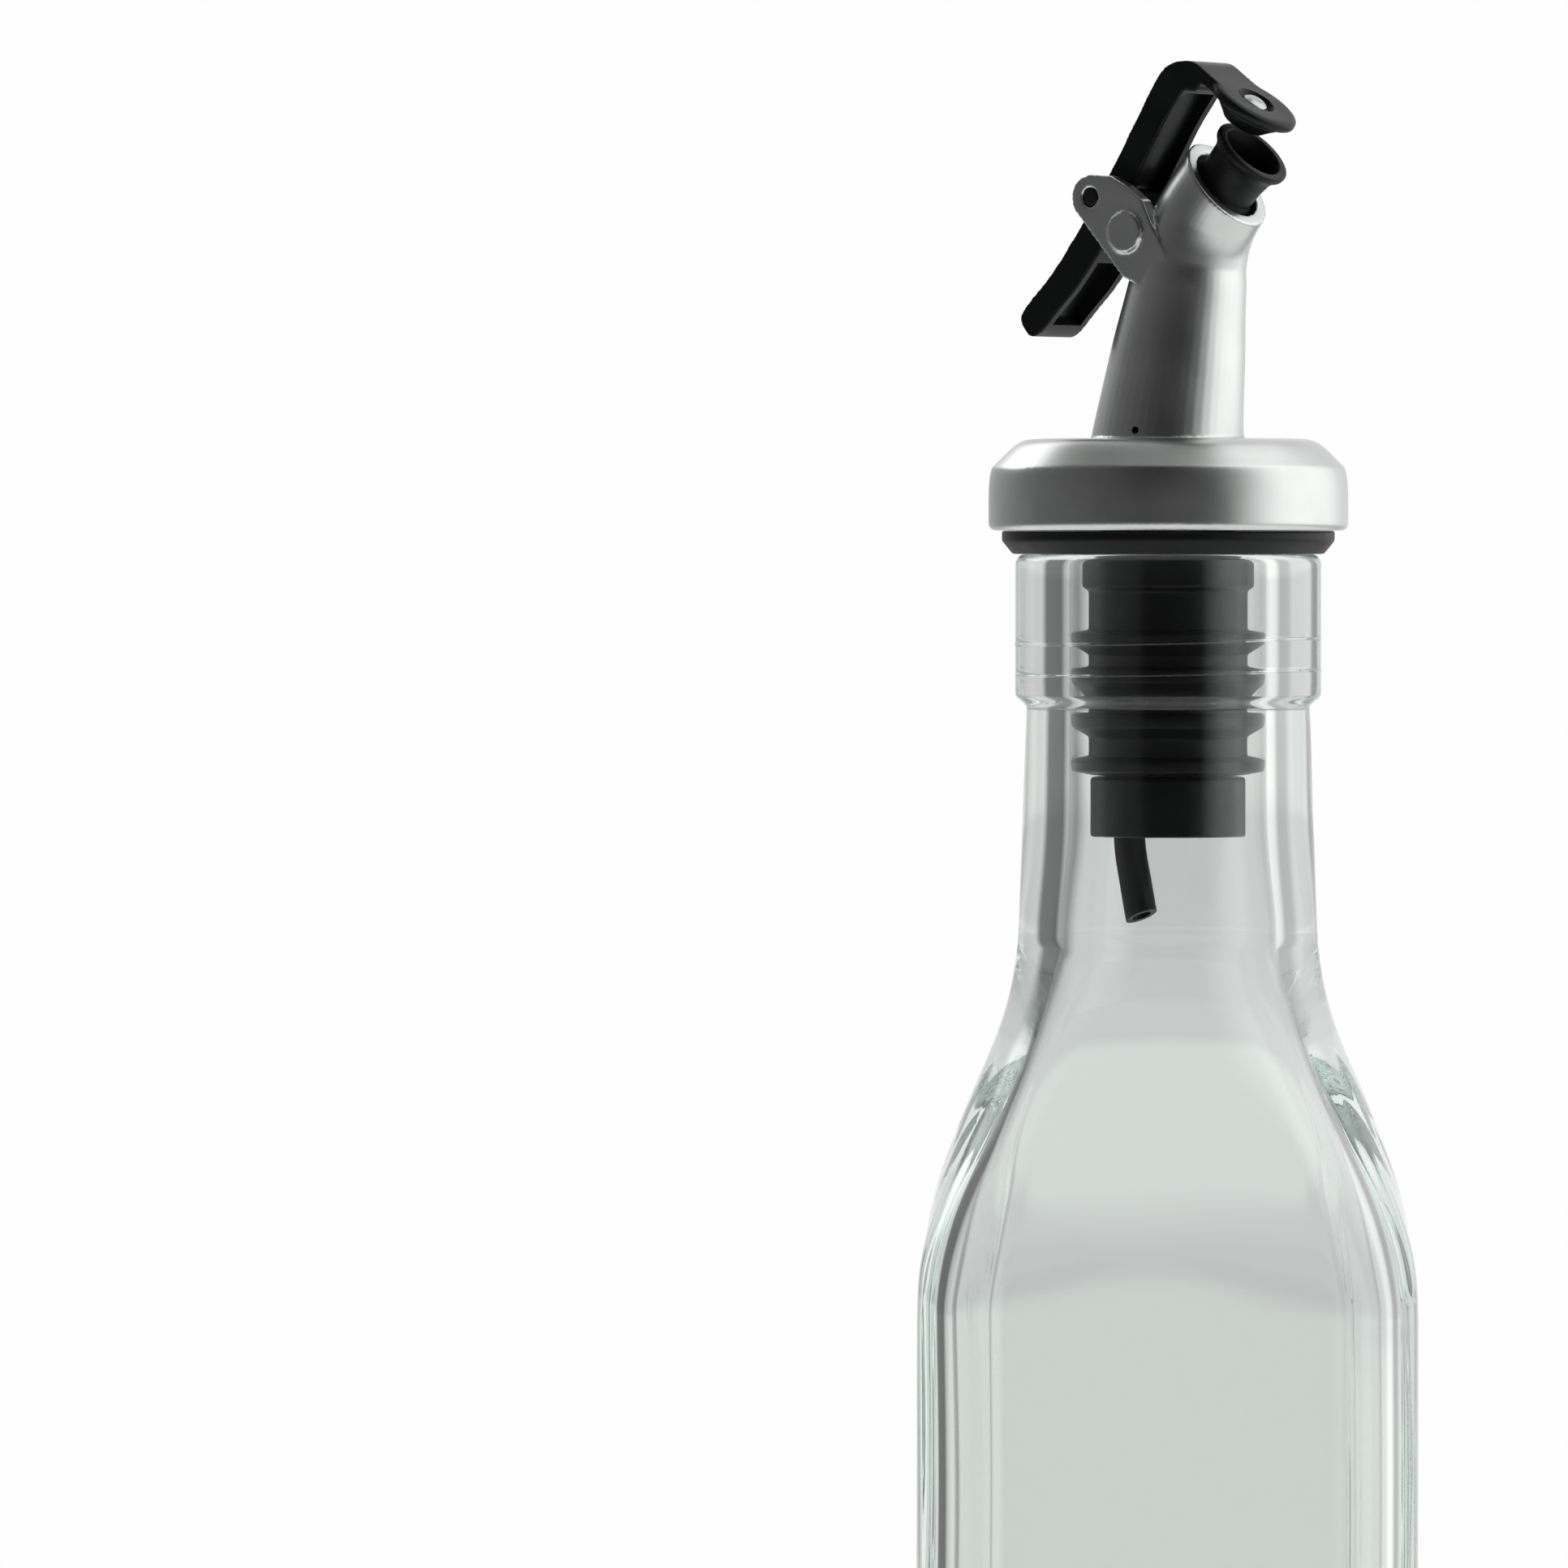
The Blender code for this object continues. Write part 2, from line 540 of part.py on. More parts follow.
def make_housing(parent):
    fillet_centre = (COLLAR_RADIUS - DOME_FILLET, DOME_TOP - DOME_FILLET)
    inner_fillet = COLLAR_BORE - fillet_centre[0]
    outline = [(4.0 * MM, DOME_TOP)] + arc(fillet_centre, DOME_FILLET, 90.0, 0.0, 7)
    outline += [
        (COLLAR_RADIUS, COLLAR_BOTTOM + COLLAR_CHAMFER),
        (COLLAR_RADIUS - COLLAR_CHAMFER * 0.9, COLLAR_BOTTOM), (COLLAR_BORE, COLLAR_BOTTOM),
    ]
    inner_centre = (fillet_centre[0], DOME_TOP - DOME_WALL - inner_fillet)
    outline += arc(inner_centre, inner_fillet, 0.0, 90.0, 5)
    outline.append((4.0 * MM, DOME_TOP - DOME_WALL))
    housing = object_from_mesh(
        "pourer_housing", turned_mesh("pourer_housing", outline, RING_STEPS), SATIN_METAL, parent
    )
    apply_boolean(
        housing, spout_bar("spout_outer", 0.0, SPOUT_TIP_RADIUS, DOME_WALL * 0.6, 14), "UNION"
    )
    settle(housing)
    mouth_cut = cylinder_mesh(
        "mouth_cut", 9.0 * MM, mouth_centre(),
        mouth_centre() + rising(MOUTH_TILT_DEG) * 8.0 * MM, 12,
    )
    apply_boolean(housing, mouth_cut, "DIFFERENCE")
    settle(housing)
    for side in (-1.0, 1.0):
        low, high = sorted((side * EAR_INNER, side * EAR_OUTER))
        apply_boolean(housing, plate_mesh("ear", ear_outline(), low, high, 0.2 * MM), "UNION")
        settle(housing)
        pad = cylinder_mesh(
            "ear_pad", EAR_PAD_RADIUS,
            (EAR_PAD_X, side * (EAR_OUTER - 0.5 * MM), DOME_TOP + EAR_PAD_Z),
            (EAR_PAD_X, side * (EAR_OUTER + EAR_PAD_RISE), DOME_TOP + EAR_PAD_Z),
        )
        apply_boolean(housing, pad, "UNION")
        settle(housing)
    apply_boolean(
        housing, spout_bar("spout_inner", SPOUT_WALL, SPOUT_TIP_BORE, 5.0 * MM, 12), "DIFFERENCE"
    )
    settle(housing)
    pin_z = DOME_TOP + PIN_Z
    pin_hole = cylinder_mesh(
        "pin_hole", PIN_RADIUS + 0.1 * MM, (PIN_X, -9.0 * MM, pin_z), (PIN_X, 9.0 * MM, pin_z), 16
    )
    apply_boolean(housing, pin_hole, "DIFFERENCE")
    settle(housing)
    vent_angle = math.radians(VENT_ANGLE_DEG)
    outward = Vector((math.cos(vent_angle), math.sin(vent_angle), 0.0))
    vent_at = Vector((0.0, 0.0, DOME_TOP + VENT_HEIGHT))
    vent = cylinder_mesh(
        "vent", VENT_RADIUS, vent_at + outward * 4.5 * MM, vent_at + outward * 9.0 * MM, 8
    )
    apply_boolean(housing, vent, "DIFFERENCE")
    settle(housing)


def aim_at_nozzle(mesh, origin):
    """Move a mesh turned about Z so that its axis is the nozzle's and its z = 0 is at origin."""
    turn = Matrix.Rotation(math.radians(90.0 - NOZZLE_TILT_DEG), 4, "Y")
    mesh.transform(Matrix.Translation(origin) @ turn)


def make_nozzle(parent):
    lip = NOZZLE_LENGTH
    outline = [
        (3.0 * MM, lip), (3.6 * MM, lip), (3.85 * MM, lip - 0.2 * MM),
        (3.8 * MM, lip - 0.5 * MM), (3.35 * MM, lip - 1.15 * MM), (3.2 * MM, 1.7 * MM),
        (3.35 * MM, 0.9 * MM), (3.7 * MM, 0.3 * MM), (3.55 * MM, -0.3 * MM),
        (3.3 * MM, -2.4 * MM), (2.75 * MM, -2.4 * MM), (2.75 * MM, -1.1 * MM),
        (2.3 * MM, -0.8 * MM), (2.3 * MM, 1.7 * MM), (2.6 * MM, 3.1 * MM),
    ]
    mesh = turned_mesh("spout_nozzle", outline, SMALL_STEPS + 4)
    aim_at_nozzle(mesh, mouth_centre())
    object_from_mesh("spout_nozzle", mesh, BLACK_SILICONE, parent)


def make_oil_tube(parent):
    """The liner that carries the oil past the vent's air space, from the core to the nozzle."""
    axis = rising(NOZZLE_TILT_DEG)
    end = mouth_centre() - axis * 1.5 * MM
    bend = mouth_centre() - axis * 3.6 * MM
    route = [
        (OIL_BORE_X, 0.0, CORE_DISC_TOP - 6.0 * MM),
        (OIL_BORE_X, 0.0, CORE_DISC_TOP + MM),
        (1.9 * MM, 0.0, DOME_TOP + 8.0 * MM),
        (2.4 * MM, 0.0, DOME_TOP + 14.0 * MM),
        tuple(bend), tuple(end),
    ]
    tube = object_from_mesh(
        "oil_tube", tube_mesh("oil_tube", [(*at, OIL_TUBE_RADIUS) for at in route], 7, 2),
        BLACK_PLASTIC, parent,
    )
    below = (OIL_BORE_X, 0.0, CORE_DISC_TOP - 7.0 * MM)
    past = tuple(mouth_centre() - axis * 0.5 * MM)
    inner = [(*at, OIL_TUBE_BORE) for at in [below] + route[1:-1] + [past]]
    apply_boolean(tube, tube_mesh("oil_tube_bore", inner, 6, 2), "DIFFERENCE")
    settle(tube)


# ---------------------------------------------------------------- lever
def from_pin(x, z):
    """A point given from the dome's top centre, as (x, z) from the lever's pin."""
    return (x - PIN_X, z - PIN_Z)


def shut_from_open(x, z):
    """Turn a point of the open lever, given from the dome's top, back to the shut lever."""
    across, up = from_pin(x, z)
    angle = math.radians(-LEVER_OPEN_DEG)
    return (
        across * math.cos(angle) - up * math.sin(angle),
        across * math.sin(angle) + up * math.cos(angle),
    )


def cap_centre():
    """Centre of the cap's top face from the pin, with the lever shut."""
    centre = mouth_centre() + rising(NOZZLE_TILT_DEG) * (NOZZLE_LENGTH + CAP_STANDOFF)
    return Vector((centre.x - PIN_X, 0.0, centre.z - DOME_TOP - PIN_Z))


# The open lever's side view in mm, as (x, z) from the dome's top centre.
LEVER_BACK = (
    (-15.2, 11.4), (-13.8, 13.0), (-11.9, 14.8), (-10.1, 16.9), (-8.1, 19.6), (-7.0, 21.2),
    (-4.6, 24.6), (-2.4, 28.2), (0.1, 32.3), (1.1, 33.8), (1.9, 34.6), (3.1, 35.05), (5.1, 34.95),
)
LEVER_FRONT = (
    (3.9, 32.6), (1.4, 29.0), (-0.7, 25.6), (-3.0, 21.8), (-4.9, 18.6), (-6.3, 16.7),
    (-8.5, 14.0), (-10.9, 11.7), (-12.3, 10.2), (-13.3, 9.55), (-14.0, 9.6),
)
ARM_POCKET = ((2.5, 32.0), (4.7, 31.3), (-0.8, 22.3), (-3.5, 23.3))
TAIL_POCKET = ((-7.8, 17.1), (-5.5, 15.9), (-10.9, 9.6), (-12.6, 11.7))


def shut_points(points):
    """Points of the open lever's side view, in mm, turned back to the shut lever."""
    return [shut_from_open(x * MM, z * MM) for x, z in points]


def lever_outline():
    """The side view of the lever from its pin, shut: tail, hub, arm and head."""
    normal = rising(NOZZLE_TILT_DEG)
    along = Vector((normal.z, 0.0, -normal.x))
    top = cap_centre()
    inset = normal * HEAD_INSET
    neck_top = top - along * CAP_RADIUS - inset
    head_end = top + along * (CAP_RADIUS - 1.5 * MM) - inset
    under_end = head_end - normal * CAP_THICKNESS + inset * 2.0
    under_neck = neck_top - along * 0.9 * MM - normal * CAP_THICKNESS + inset * 2.0
    head = [(point.x, point.z) for point in (neck_top, head_end, under_end, under_neck)]
    return shut_points(LEVER_BACK) + head + shut_points(LEVER_FRONT)


def make_lever(parent):
    mesh = plate_mesh("flip_lever", lever_outline(), -LEVER_HALF, LEVER_HALF, 0.3 * MM)
    lever = object_from_mesh("flip_lever", mesh, BLACK_PLASTIC, parent)
    hub = cylinder_mesh("hub", HUB_RADIUS, (0.0, -HUB_HALF, 0.0), (0.0, HUB_HALF, 0.0))
    top = cap_centre()
    normal = rising(NOZZLE_TILT_DEG)
    disc_outline = [
        (0.0, 0.0), (CAP_RADIUS - 0.25 * MM, 0.0), (CAP_RADIUS, -0.25 * MM),
        (CAP_RADIUS, -CAP_THICKNESS + 0.15 * MM), (CAP_RADIUS - 0.15 * MM, -CAP_THICKNESS),
        (0.0, -CAP_THICKNESS),
    ]
    disc = turned_mesh("cap_disc", disc_outline, 32)
    aim_at_nozzle(disc, top)
    for tool in (hub, disc):
        apply_boolean(lever, tool, "UNION")
        settle(lever)
    pin_hole = cylinder_mesh(
        "lever_pin_hole", PIN_RADIUS + 0.15 * MM, (0.0, -9.0 * MM, 0.0), (0.0, 9.0 * MM, 0.0), 16
    )
    dish = cylinder_mesh(
        "cap_dish", CAP_DISH_RADIUS - 0.5 * MM, top - normal * 0.55 * MM,
        top + normal * 0.1 * MM, SMALL_STEPS, CAP_DISH_RADIUS,
    )
    rivet_hole = cylinder_mesh(
        "rivet_hole", RIVET_RADIUS + 0.2 * MM, top - normal * 3.0 * MM, top + normal * MM, 16
    )
    arm_pocket = plate_mesh("arm_pocket", shut_points(ARM_POCKET), -POCKET_HALF, POCKET_HALF)
    tail_pocket = plate_mesh("tail_pocket", shut_points(TAIL_POCKET), -POCKET_HALF, POCKET_HALF)
    for tool in (pin_hole, dish, rivet_hole, arm_pocket, tail_pocket):
        apply_boolean(lever, tool, "DIFFERENCE")
        settle(lever)


def make_cap_seal(parent):
    """A soft cone under the cap, held up against it by the rivet."""
    hole = RIVET_RADIUS + 0.2 * MM
    outline = [
        (hole, SEAL_TOP), (SEAL_RADIUS, SEAL_TOP), (SEAL_RADIUS, SEAL_TOP - 0.25 * MM),
        (SEAL_TIP_RADIUS, SEAL_BOTTOM), (hole, SEAL_BOTTOM),
    ]
    mesh = turned_mesh("cap_seal", outline, SMALL_STEPS)
    aim_at_nozzle(mesh, cap_centre())
    object_from_mesh("cap_seal", mesh, BLACK_SILICONE, parent)


def make_cap_rivet(parent):
    """The pale rivet that shows in the cap's dish and holds the seal."""
    head_top = 0.15 * MM
    head_bottom = -0.4 * MM
    outline = [
        (0.0, head_top), (RIVET_HEAD_RADIUS * 0.6, head_top - 0.08 * MM),
        (RIVET_HEAD_RADIUS, head_bottom + 0.15 * MM), (RIVET_HEAD_RADIUS, head_bottom),
        (RIVET_RADIUS, head_bottom), (RIVET_RADIUS, RIVET_TAIL_TOP),
        (RIVET_HEAD_RADIUS, RIVET_TAIL_TOP), (RIVET_HEAD_RADIUS * 0.8, RIVET_TAIL_END),
        (0.0, RIVET_TAIL_END),
    ]
    mesh = turned_mesh("cap_rivet", outline, 20)
    aim_at_nozzle(mesh, cap_centre())
    object_from_mesh("cap_rivet", mesh, BRIGHT_STEEL, parent)


def make_pivot_pin(parent):
    reach = EAR_OUTER - 0.1 * MM
    mesh = cylinder_mesh("pivot_pin", PIN_RADIUS, (0.0, -reach, 0.0), (0.0, reach, 0.0), 16)
    object_from_mesh("pivot_pin", mesh, BLACK_STEEL, parent)


# ---------------------------------------------------------------- assembly
def main():
    make_bottle()
    pourer = frame_empty("pourer_frame", (0.0, 0.0, RIM_Z), POURER_YAW_DEG, "Z")
    make_sleeve(pourer)
    make_core(pourer)
    make_air_tube(pourer)
    make_housing(pourer)
    make_oil_tube(pourer)
    make_nozzle(pourer)
    pin_frame = frame_empty(
        "pin_frame", (PIN_X, 0.0, DOME_TOP + PIN_Z), -LEVER_OPEN_DEG, "Y", pourer
    )
    make_lever(pin_frame)
    make_cap_seal(pin_frame)
    make_cap_rivet(pin_frame)
    make_pivot_pin(pin_frame)


main()
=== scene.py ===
"""Looks of the square glass oil bottle and its lever pourer."""
import math

import bmesh
import bpy
from mathutils import Matrix, Vector, noise


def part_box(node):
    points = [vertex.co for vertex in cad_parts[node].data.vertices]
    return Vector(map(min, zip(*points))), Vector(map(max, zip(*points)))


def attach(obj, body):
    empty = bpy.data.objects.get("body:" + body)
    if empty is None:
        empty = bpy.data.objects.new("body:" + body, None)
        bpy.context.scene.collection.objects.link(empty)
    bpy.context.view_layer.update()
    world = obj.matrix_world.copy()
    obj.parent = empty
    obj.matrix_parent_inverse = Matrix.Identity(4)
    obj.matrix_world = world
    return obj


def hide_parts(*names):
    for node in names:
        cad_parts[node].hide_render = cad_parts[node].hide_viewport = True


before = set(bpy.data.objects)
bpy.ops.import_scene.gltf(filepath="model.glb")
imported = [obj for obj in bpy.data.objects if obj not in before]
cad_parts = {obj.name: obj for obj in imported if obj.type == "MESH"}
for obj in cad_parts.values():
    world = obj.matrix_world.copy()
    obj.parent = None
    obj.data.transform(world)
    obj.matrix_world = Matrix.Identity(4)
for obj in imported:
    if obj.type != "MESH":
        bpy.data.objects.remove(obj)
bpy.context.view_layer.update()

MM = 0.001

# Bottle sizes, as in the CAD.
RIM_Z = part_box("glass_bottle")[1].z
BODY_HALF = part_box("glass_bottle")[1].x
BODY_CORNER = 7.0 * MM
WALL = 3.0 * MM
INNER_CORNER = 5.0 * MM
HEEL_RADIUS = 5.5 * MM
FLOOR_HEIGHT = 5.2 * MM
FLOOR_RADIUS = 5.0 * MM
PUSH_UP_HALF = 13.5 * MM
PUSH_UP_HEIGHT = 1.8 * MM
PUSH_UP_FLAT = 0.35
BASE_SQUARENESS = 0.9
BASE_SQUARING = 1.4
RING_RADIUS = 14.25 * MM
RING_HEIGHT = 13.8 * MM
NECK_TOP_RADIUS = 13.2 * MM
NECK_FOOT_RADIUS = 14.1 * MM
NECK_FOOT_DEPTH = 40.0 * MM
SHOULDER_DEPTH = 67.0 * MM
NECK_EASING = 5.0 * MM
NECK_EASING_SAMPLES = 9
SHOULDER_ROUNDNESS = 0.62
BORE_RADIUS = 9.25 * MM
BORE_DEPTH = 24.0 * MM
BORE_SPREAD = 0.9 * MM
RIM_FILLET = 0.9 * MM
SEAM_DEPTHS = (8.1 * MM, 11.0 * MM)
SEAM_RISE = 0.06 * MM
SEAM_HALF_WIDTH = 0.14 * MM
SEAM_TILT = 0.035
SEAM_TILT_DEPTHS = (7.0 * MM, 12.0 * MM)
INSIDE_WANDER = 0.25 * MM
INSIDE_WANDER_SCALE = 60.0
RING_POINTS = 192

# Pourer sizes, as in the CAD. Heights are above the bottle's rim, but those of the mouth, the
# pin, the ears' pads and the vent are above the dome's top.
POURER_YAW_DEG = -36.0
SLEEVE_RADIUS = 7.4 * MM
SLEEVE_TOP_RADIUS = 8.0 * MM
SLEEVE_BORE = 6.2 * MM
SLEEVE_LENGTH = 20.6 * MM
SLEEVE_TOP_DEPTH = 3.0 * MM
RIB_RADIUS = 9.1 * MM
RIB_DEPTHS = (7.3 * MM, 10.7 * MM, 15.1 * MM, 19.2 * MM)
FLANGE_RADIUS = 15.5 * MM
FLANGE_FOOT_RADIUS = 14.5 * MM
FLANGE_BOTTOM = 0.03 * MM
FLANGE_TOP = 2.17 * MM
CORE_RADIUS = 5.9 * MM
CORE_FOOT_RADIUS = 7.24 * MM
CORE_FOOT_DEPTH = 26.2 * MM
CORE_DISC_RADIUS = 14.9 * MM
CORE_DISC_BOTTOM = 2.2 * MM
CORE_DISC_TOP = 4.4 * MM
CORE_AXIS_HOLE = 0.8 * MM
OIL_BORE_RADIUS = 3.2 * MM
OIL_BORE_X = 1.5 * MM
AIR_TUBE_X = -4.6 * MM
AIR_TUBE_RADIUS = 1.55 * MM
AIR_TUBE_BORE = 0.95 * MM
AIR_TUBE_REACH = 8.0 * MM
AIR_TUBE_LEAN_DEG = 12.0
AIR_TUBE_CUT_DEG = 29.0
COLLAR_RADIUS = 16.75 * MM
COLLAR_BOTTOM = 2.2 * MM
COLLAR_BORE = 15.3 * MM
DOME_TOP = 10.75 * MM
DOME_FILLET = 3.7 * MM
DOME_WALL = 1.3 * MM
SPOUT_WALL = 1.05 * MM
SPOUT_TIP_RADIUS = 4.65 * MM
SPOUT_TIP_BORE = 3.5 * MM
SPOUT_TIP_TILT_DEG = 55.0
MOUTH_X = 6.7 * MM
MOUTH_Z = 23.6 * MM
MOUTH_TILT_DEG = 37.5
NOZZLE_TILT_DEG = 44.0
NOZZLE_LENGTH = 4.2 * MM
PIN_X = -5.3 * MM
PIN_Z = 22.45 * MM
PIN_RADIUS = 0.8 * MM
VENT_RADIUS = 0.35 * MM
VENT_TURN_DEG = -80.0
VENT_HEIGHT = 0.75 * MM
EAR_INNER = 3.7 * MM
EAR_OUTER = 5.2 * MM
EAR_PAD_RADIUS = 1.9 * MM
EAR_PAD_X = -1.2 * MM
EAR_PAD_Z = 19.15 * MM
EAR_PAD_RISE = 0.35 * MM
LEVER_OPEN_DEG = 11.0
LEVER_HALF = 3.1 * MM
LEVER_WALL = 0.9 * MM
HUB_HALF = 3.4 * MM
HUB_RADIUS = 1.8 * MM
CAP_RADIUS = 4.3 * MM
CAP_THICKNESS = 1.1 * MM
CAP_STANDOFF = 2.4 * MM
DISH_DEPTH = 0.55 * MM
RIVET_HOLE = 0.9 * MM

# Voxel size and smoothing passes of the two moulded shapes.
HOUSING_GRAIN = 0.17 * MM
HOUSING_MELT = 4
LEVER_GRAIN = 0.14 * MM
LEVER_MELT = 3

# Camera: nearly level with the mouth, with the pourer and shoulder right of the middle.
CAMERA_DISTANCE = 0.90
CAMERA_HEIGHT = 0.212
CAMERA_PAN_DEG = 2.28
CAMERA_TILT_DEG = -1.555
CAMERA_LENS = 221.5

FLOOR_SIZE = 0.62
FLOOR_FADE_FROM = 0.55
FLOOR_GLOW = 0.44
FLOOR_DROP = 0.2 * MM


# ---------------------------------------------------------------- node helpers
def new_material(name):
    material = bpy.data.materials.new(name)
    material.use_nodes = True
    return material, material.node_tree, material.node_tree.nodes["Principled BSDF"]


def add_node(tree, kind, **settings):
    node = tree.nodes.new(kind)
    for key, value in settings.items():
        setattr(node, key, value)
    return node


def connect(tree, value, socket):
    """Link an output to a socket, or set the socket to a plain value."""
    if isinstance(value, bpy.types.NodeSocket):
        tree.links.new(value, socket)
    else:
        socket.default_value = value


def math_node(tree, operation, first, second=0.0, third=0.0):
    node = add_node(tree, "ShaderNodeMath", operation=operation)
    connect(tree, first, node.inputs[0])
    connect(tree, second, node.inputs[1])
    connect(tree, third, node.inputs[2])
    return node.outputs[0]


def map_range(tree, value, from_low, from_high, to_low, to_high, smooth=False):
    node = add_node(tree, "ShaderNodeMapRange")
    if smooth:
        node.interpolation_type = "SMOOTHSTEP"
    connect(tree, value, node.inputs["Value"])
    node.inputs["From Min"].default_value = from_low
    node.inputs["From Max"].default_value = from_high
    node.inputs["To Min"].default_value = to_low
    node.inputs["To Max"].default_value = to_high
    return node.outputs[0]


def noise_texture(tree, scale, detail=3.0, roughness=0.55, stretch=(1.0, 1.0, 1.0)):
    """Noise in the piece's own frame, in metres, so the grain has a real size."""
    coordinates = add_node(tree, "ShaderNodeTexCoord")
    mapping = add_node(tree, "ShaderNodeMapping")
    mapping.inputs["Scale"].default_value = stretch
    tree.links.new(coordinates.outputs["Object"], mapping.inputs["Vector"])
    texture = add_node(tree, "ShaderNodeTexNoise")
    texture.inputs["Scale"].default_value = scale
    texture.inputs["Detail"].default_value = detail
    texture.inputs["Roughness"].default_value = roughness
    tree.links.new(mapping.outputs["Vector"], texture.inputs["Vector"])
    return texture.outputs["Fac"]


def colour_between(tree, factor, low, high):
    ramp = add_node(tree, "ShaderNodeValToRGB")
    ramp.color_ramp.elements[0].color = (*low, 1.0)
    ramp.color_ramp.elements[1].color = (*high, 1.0)
    ramp.color_ramp.elements[0].position = 0.3
    ramp.color_ramp.elements[1].position = 0.7
    tree.links.new(factor, ramp.inputs["Fac"])
    return ramp.outputs["Color"]


def add_bump(tree, shader, heights, distance, strength):
    bump = add_node(tree, "ShaderNodeBump")
    bump.inputs["Distance"].default_value = distance
    bump.inputs["Strength"].default_value = strength
    tree.links.new(heights, bump.inputs["Height"])
    tree.links.new(bump.outputs["Normal"], shader.inputs["Normal"])


# ---------------------------------------------------------------- materials
BLACK_SPECULAR = 0.22


def glass_material():
    """Clear bottle glass, faintly green where it is thick, with a slow moulded ripple."""
    material, tree, shader = new_material("bottle_glass")
    shader.inputs["Base Color"].default_value = (0.955, 0.972, 0.962, 1.0)
    shader.inputs["Roughness"].default_value = 0.0
    shader.inputs["IOR"].default_value = 1.51
    shader.inputs["Transmission Weight"].default_value = 1.0
    ripple = noise_texture(tree, 55.0, 1.0, 0.4, (1.0, 1.0, 0.35))
    add_bump(tree, shader, ripple, distance=0.35 * MM, strength=0.25)
    absorption = add_node(tree, "ShaderNodeVolumeAbsorption")
    absorption.inputs["Color"].default_value = (0.70, 0.86, 0.80, 1.0)
    absorption.inputs["Density"].default_value = 5.0
    tree.links.new(absorption.outputs["Volume"], tree.nodes["Material Output"].inputs["Volume"])
    return material


def satin_metal():
    """Satin-plated cast metal: a fine even grain, with slow cloudy changes in its polish."""
    material, tree, shader = new_material("satin_plating")
    shader.inputs["Metallic"].default_value = 1.0
    cloud = noise_texture(tree, 160.0, 4.0)
    grain = noise_texture(tree, 3800.0, 2.0, 0.6)
    colour = colour_between(tree, cloud, (0.60, 0.62, 0.605), (0.68, 0.70, 0.685))
    tree.links.new(colour, shader.inputs["Base Color"])
    tree.links.new(map_range(tree, cloud, 0.3, 0.7, 0.28, 0.33), shader.inputs["Roughness"])
    add_bump(tree, shader, grain, distance=0.0015 * MM, strength=0.5)
    return material


def black_plastic(name, dark, light, rough_low, rough_high, grain_scale, grain_depth):
    """Black moulded plastic or rubber, with fine grain and slow changes in tone and gloss."""
    material, tree, shader = new_material(name)
    shader.inputs["Specular IOR Level"].default_value = BLACK_SPECULAR
    cloud = noise_texture(tree, 220.0, 4.0)
    grain = noise_texture(tree, grain_scale, 2.0, 0.6)
    tree.links.new(colour_between(tree, cloud, dark, light), shader.inputs["Base Color"])
    roughness = map_range(tree, cloud, 0.3, 0.7, rough_low, rough_high)
    tree.links.new(roughness, shader.inputs["Roughness"])
    add_bump(tree, shader, grain, grain_depth, strength=0.6)
    return material


def bright_metal():
    """Bright steel with a fine uneven polish."""
    material, tree, shader = new_material("rivet_steel")
    shader.inputs["Metallic"].default_value = 1.0
    cloud = noise_texture(tree, 900.0, 3.0)
    colour = colour_between(tree, cloud, (0.42, 0.47, 0.46), (0.54, 0.59, 0.58))
    tree.links.new(colour, shader.inputs["Base Color"])
    tree.links.new(map_range(tree, cloud, 0.3, 0.7, 0.22, 0.34), shader.inputs["Roughness"])
    return material


GLASS = glass_material()
SATIN = satin_metal()
PLASTIC = black_plastic(
    "lever_plastic", (0.006, 0.0066, 0.0067), (0.010, 0.011, 0.0112), 0.28, 0.38, 2600.0, 0.012 * MM
)
SILICONE = black_plastic(
    "soft_silicone", (0.0045, 0.005, 0.005), (0.008, 0.009, 0.0088), 0.36, 0.50, 1900.0, 0.02 * MM
)
PIN_STEEL = black_plastic(
    "blackened_pin", (0.010, 0.010, 0.010), (0.02, 0.02, 0.02), 0.3, 0.45, 2600.0, 0.01 * MM
)
RIVET = bright_metal()

CAD_MATERIALS = {"oil_tube": PLASTIC}


def dress_cad_nodes():
    for name, material in CAD_MATERIALS.items():
        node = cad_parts[name]
        if not node.material_slots:
            node.data.materials.append(material)
        for slot in node.material_slots:
            slot.material = material


# ---------------------------------------------------------------- glass bottle
def arc(centre, radius, start_deg, end_deg, count):
    points = []
    for step in range(count):
        angle = math.radians(start_deg + (end_deg - start_deg) * step / (count - 1))
        points.append((centre[0] + radius * math.cos(angle), centre[1] + radius * math.sin(angle)))
    return points


def spread(first, last, count):
    return [first + (last - first) * step / (count - 1) for step in range(count)]


def smooth(value):
    value = min(max(value, 0.0), 1.0)
    return value * value * (3.0 - 2.0 * value)


def square_radius(angle, half, corner):
    """Distance from the centre to the edge of a square with round corners."""
    folded = angle % (math.pi / 2)
    folded = min(folded, math.pi / 2 - folded)
    flat = half - corner
    if half * math.tan(folded) <= flat:
        return half / math.cos(folded)
    along = math.cos(folded) + math.sin(folded)
    across = math.cos(folded) - math.sin(folded)
    return flat * along + math.sqrt(corner ** 2 - (flat * across) ** 2)


def shoulder_half(depth, top, foot, start, end):
    """Half width of a shoulder that swells from top to foot between two depths."""
    share = min(max((depth - start) / (end - start), 0.0), 1.0)
    rounded = math.sin(share * math.pi / 2) * SHOULDER_ROUNDNESS
    return top + (foot - top) * (rounded + smooth(share) * (1.0 - SHOULDER_ROUNDNESS))


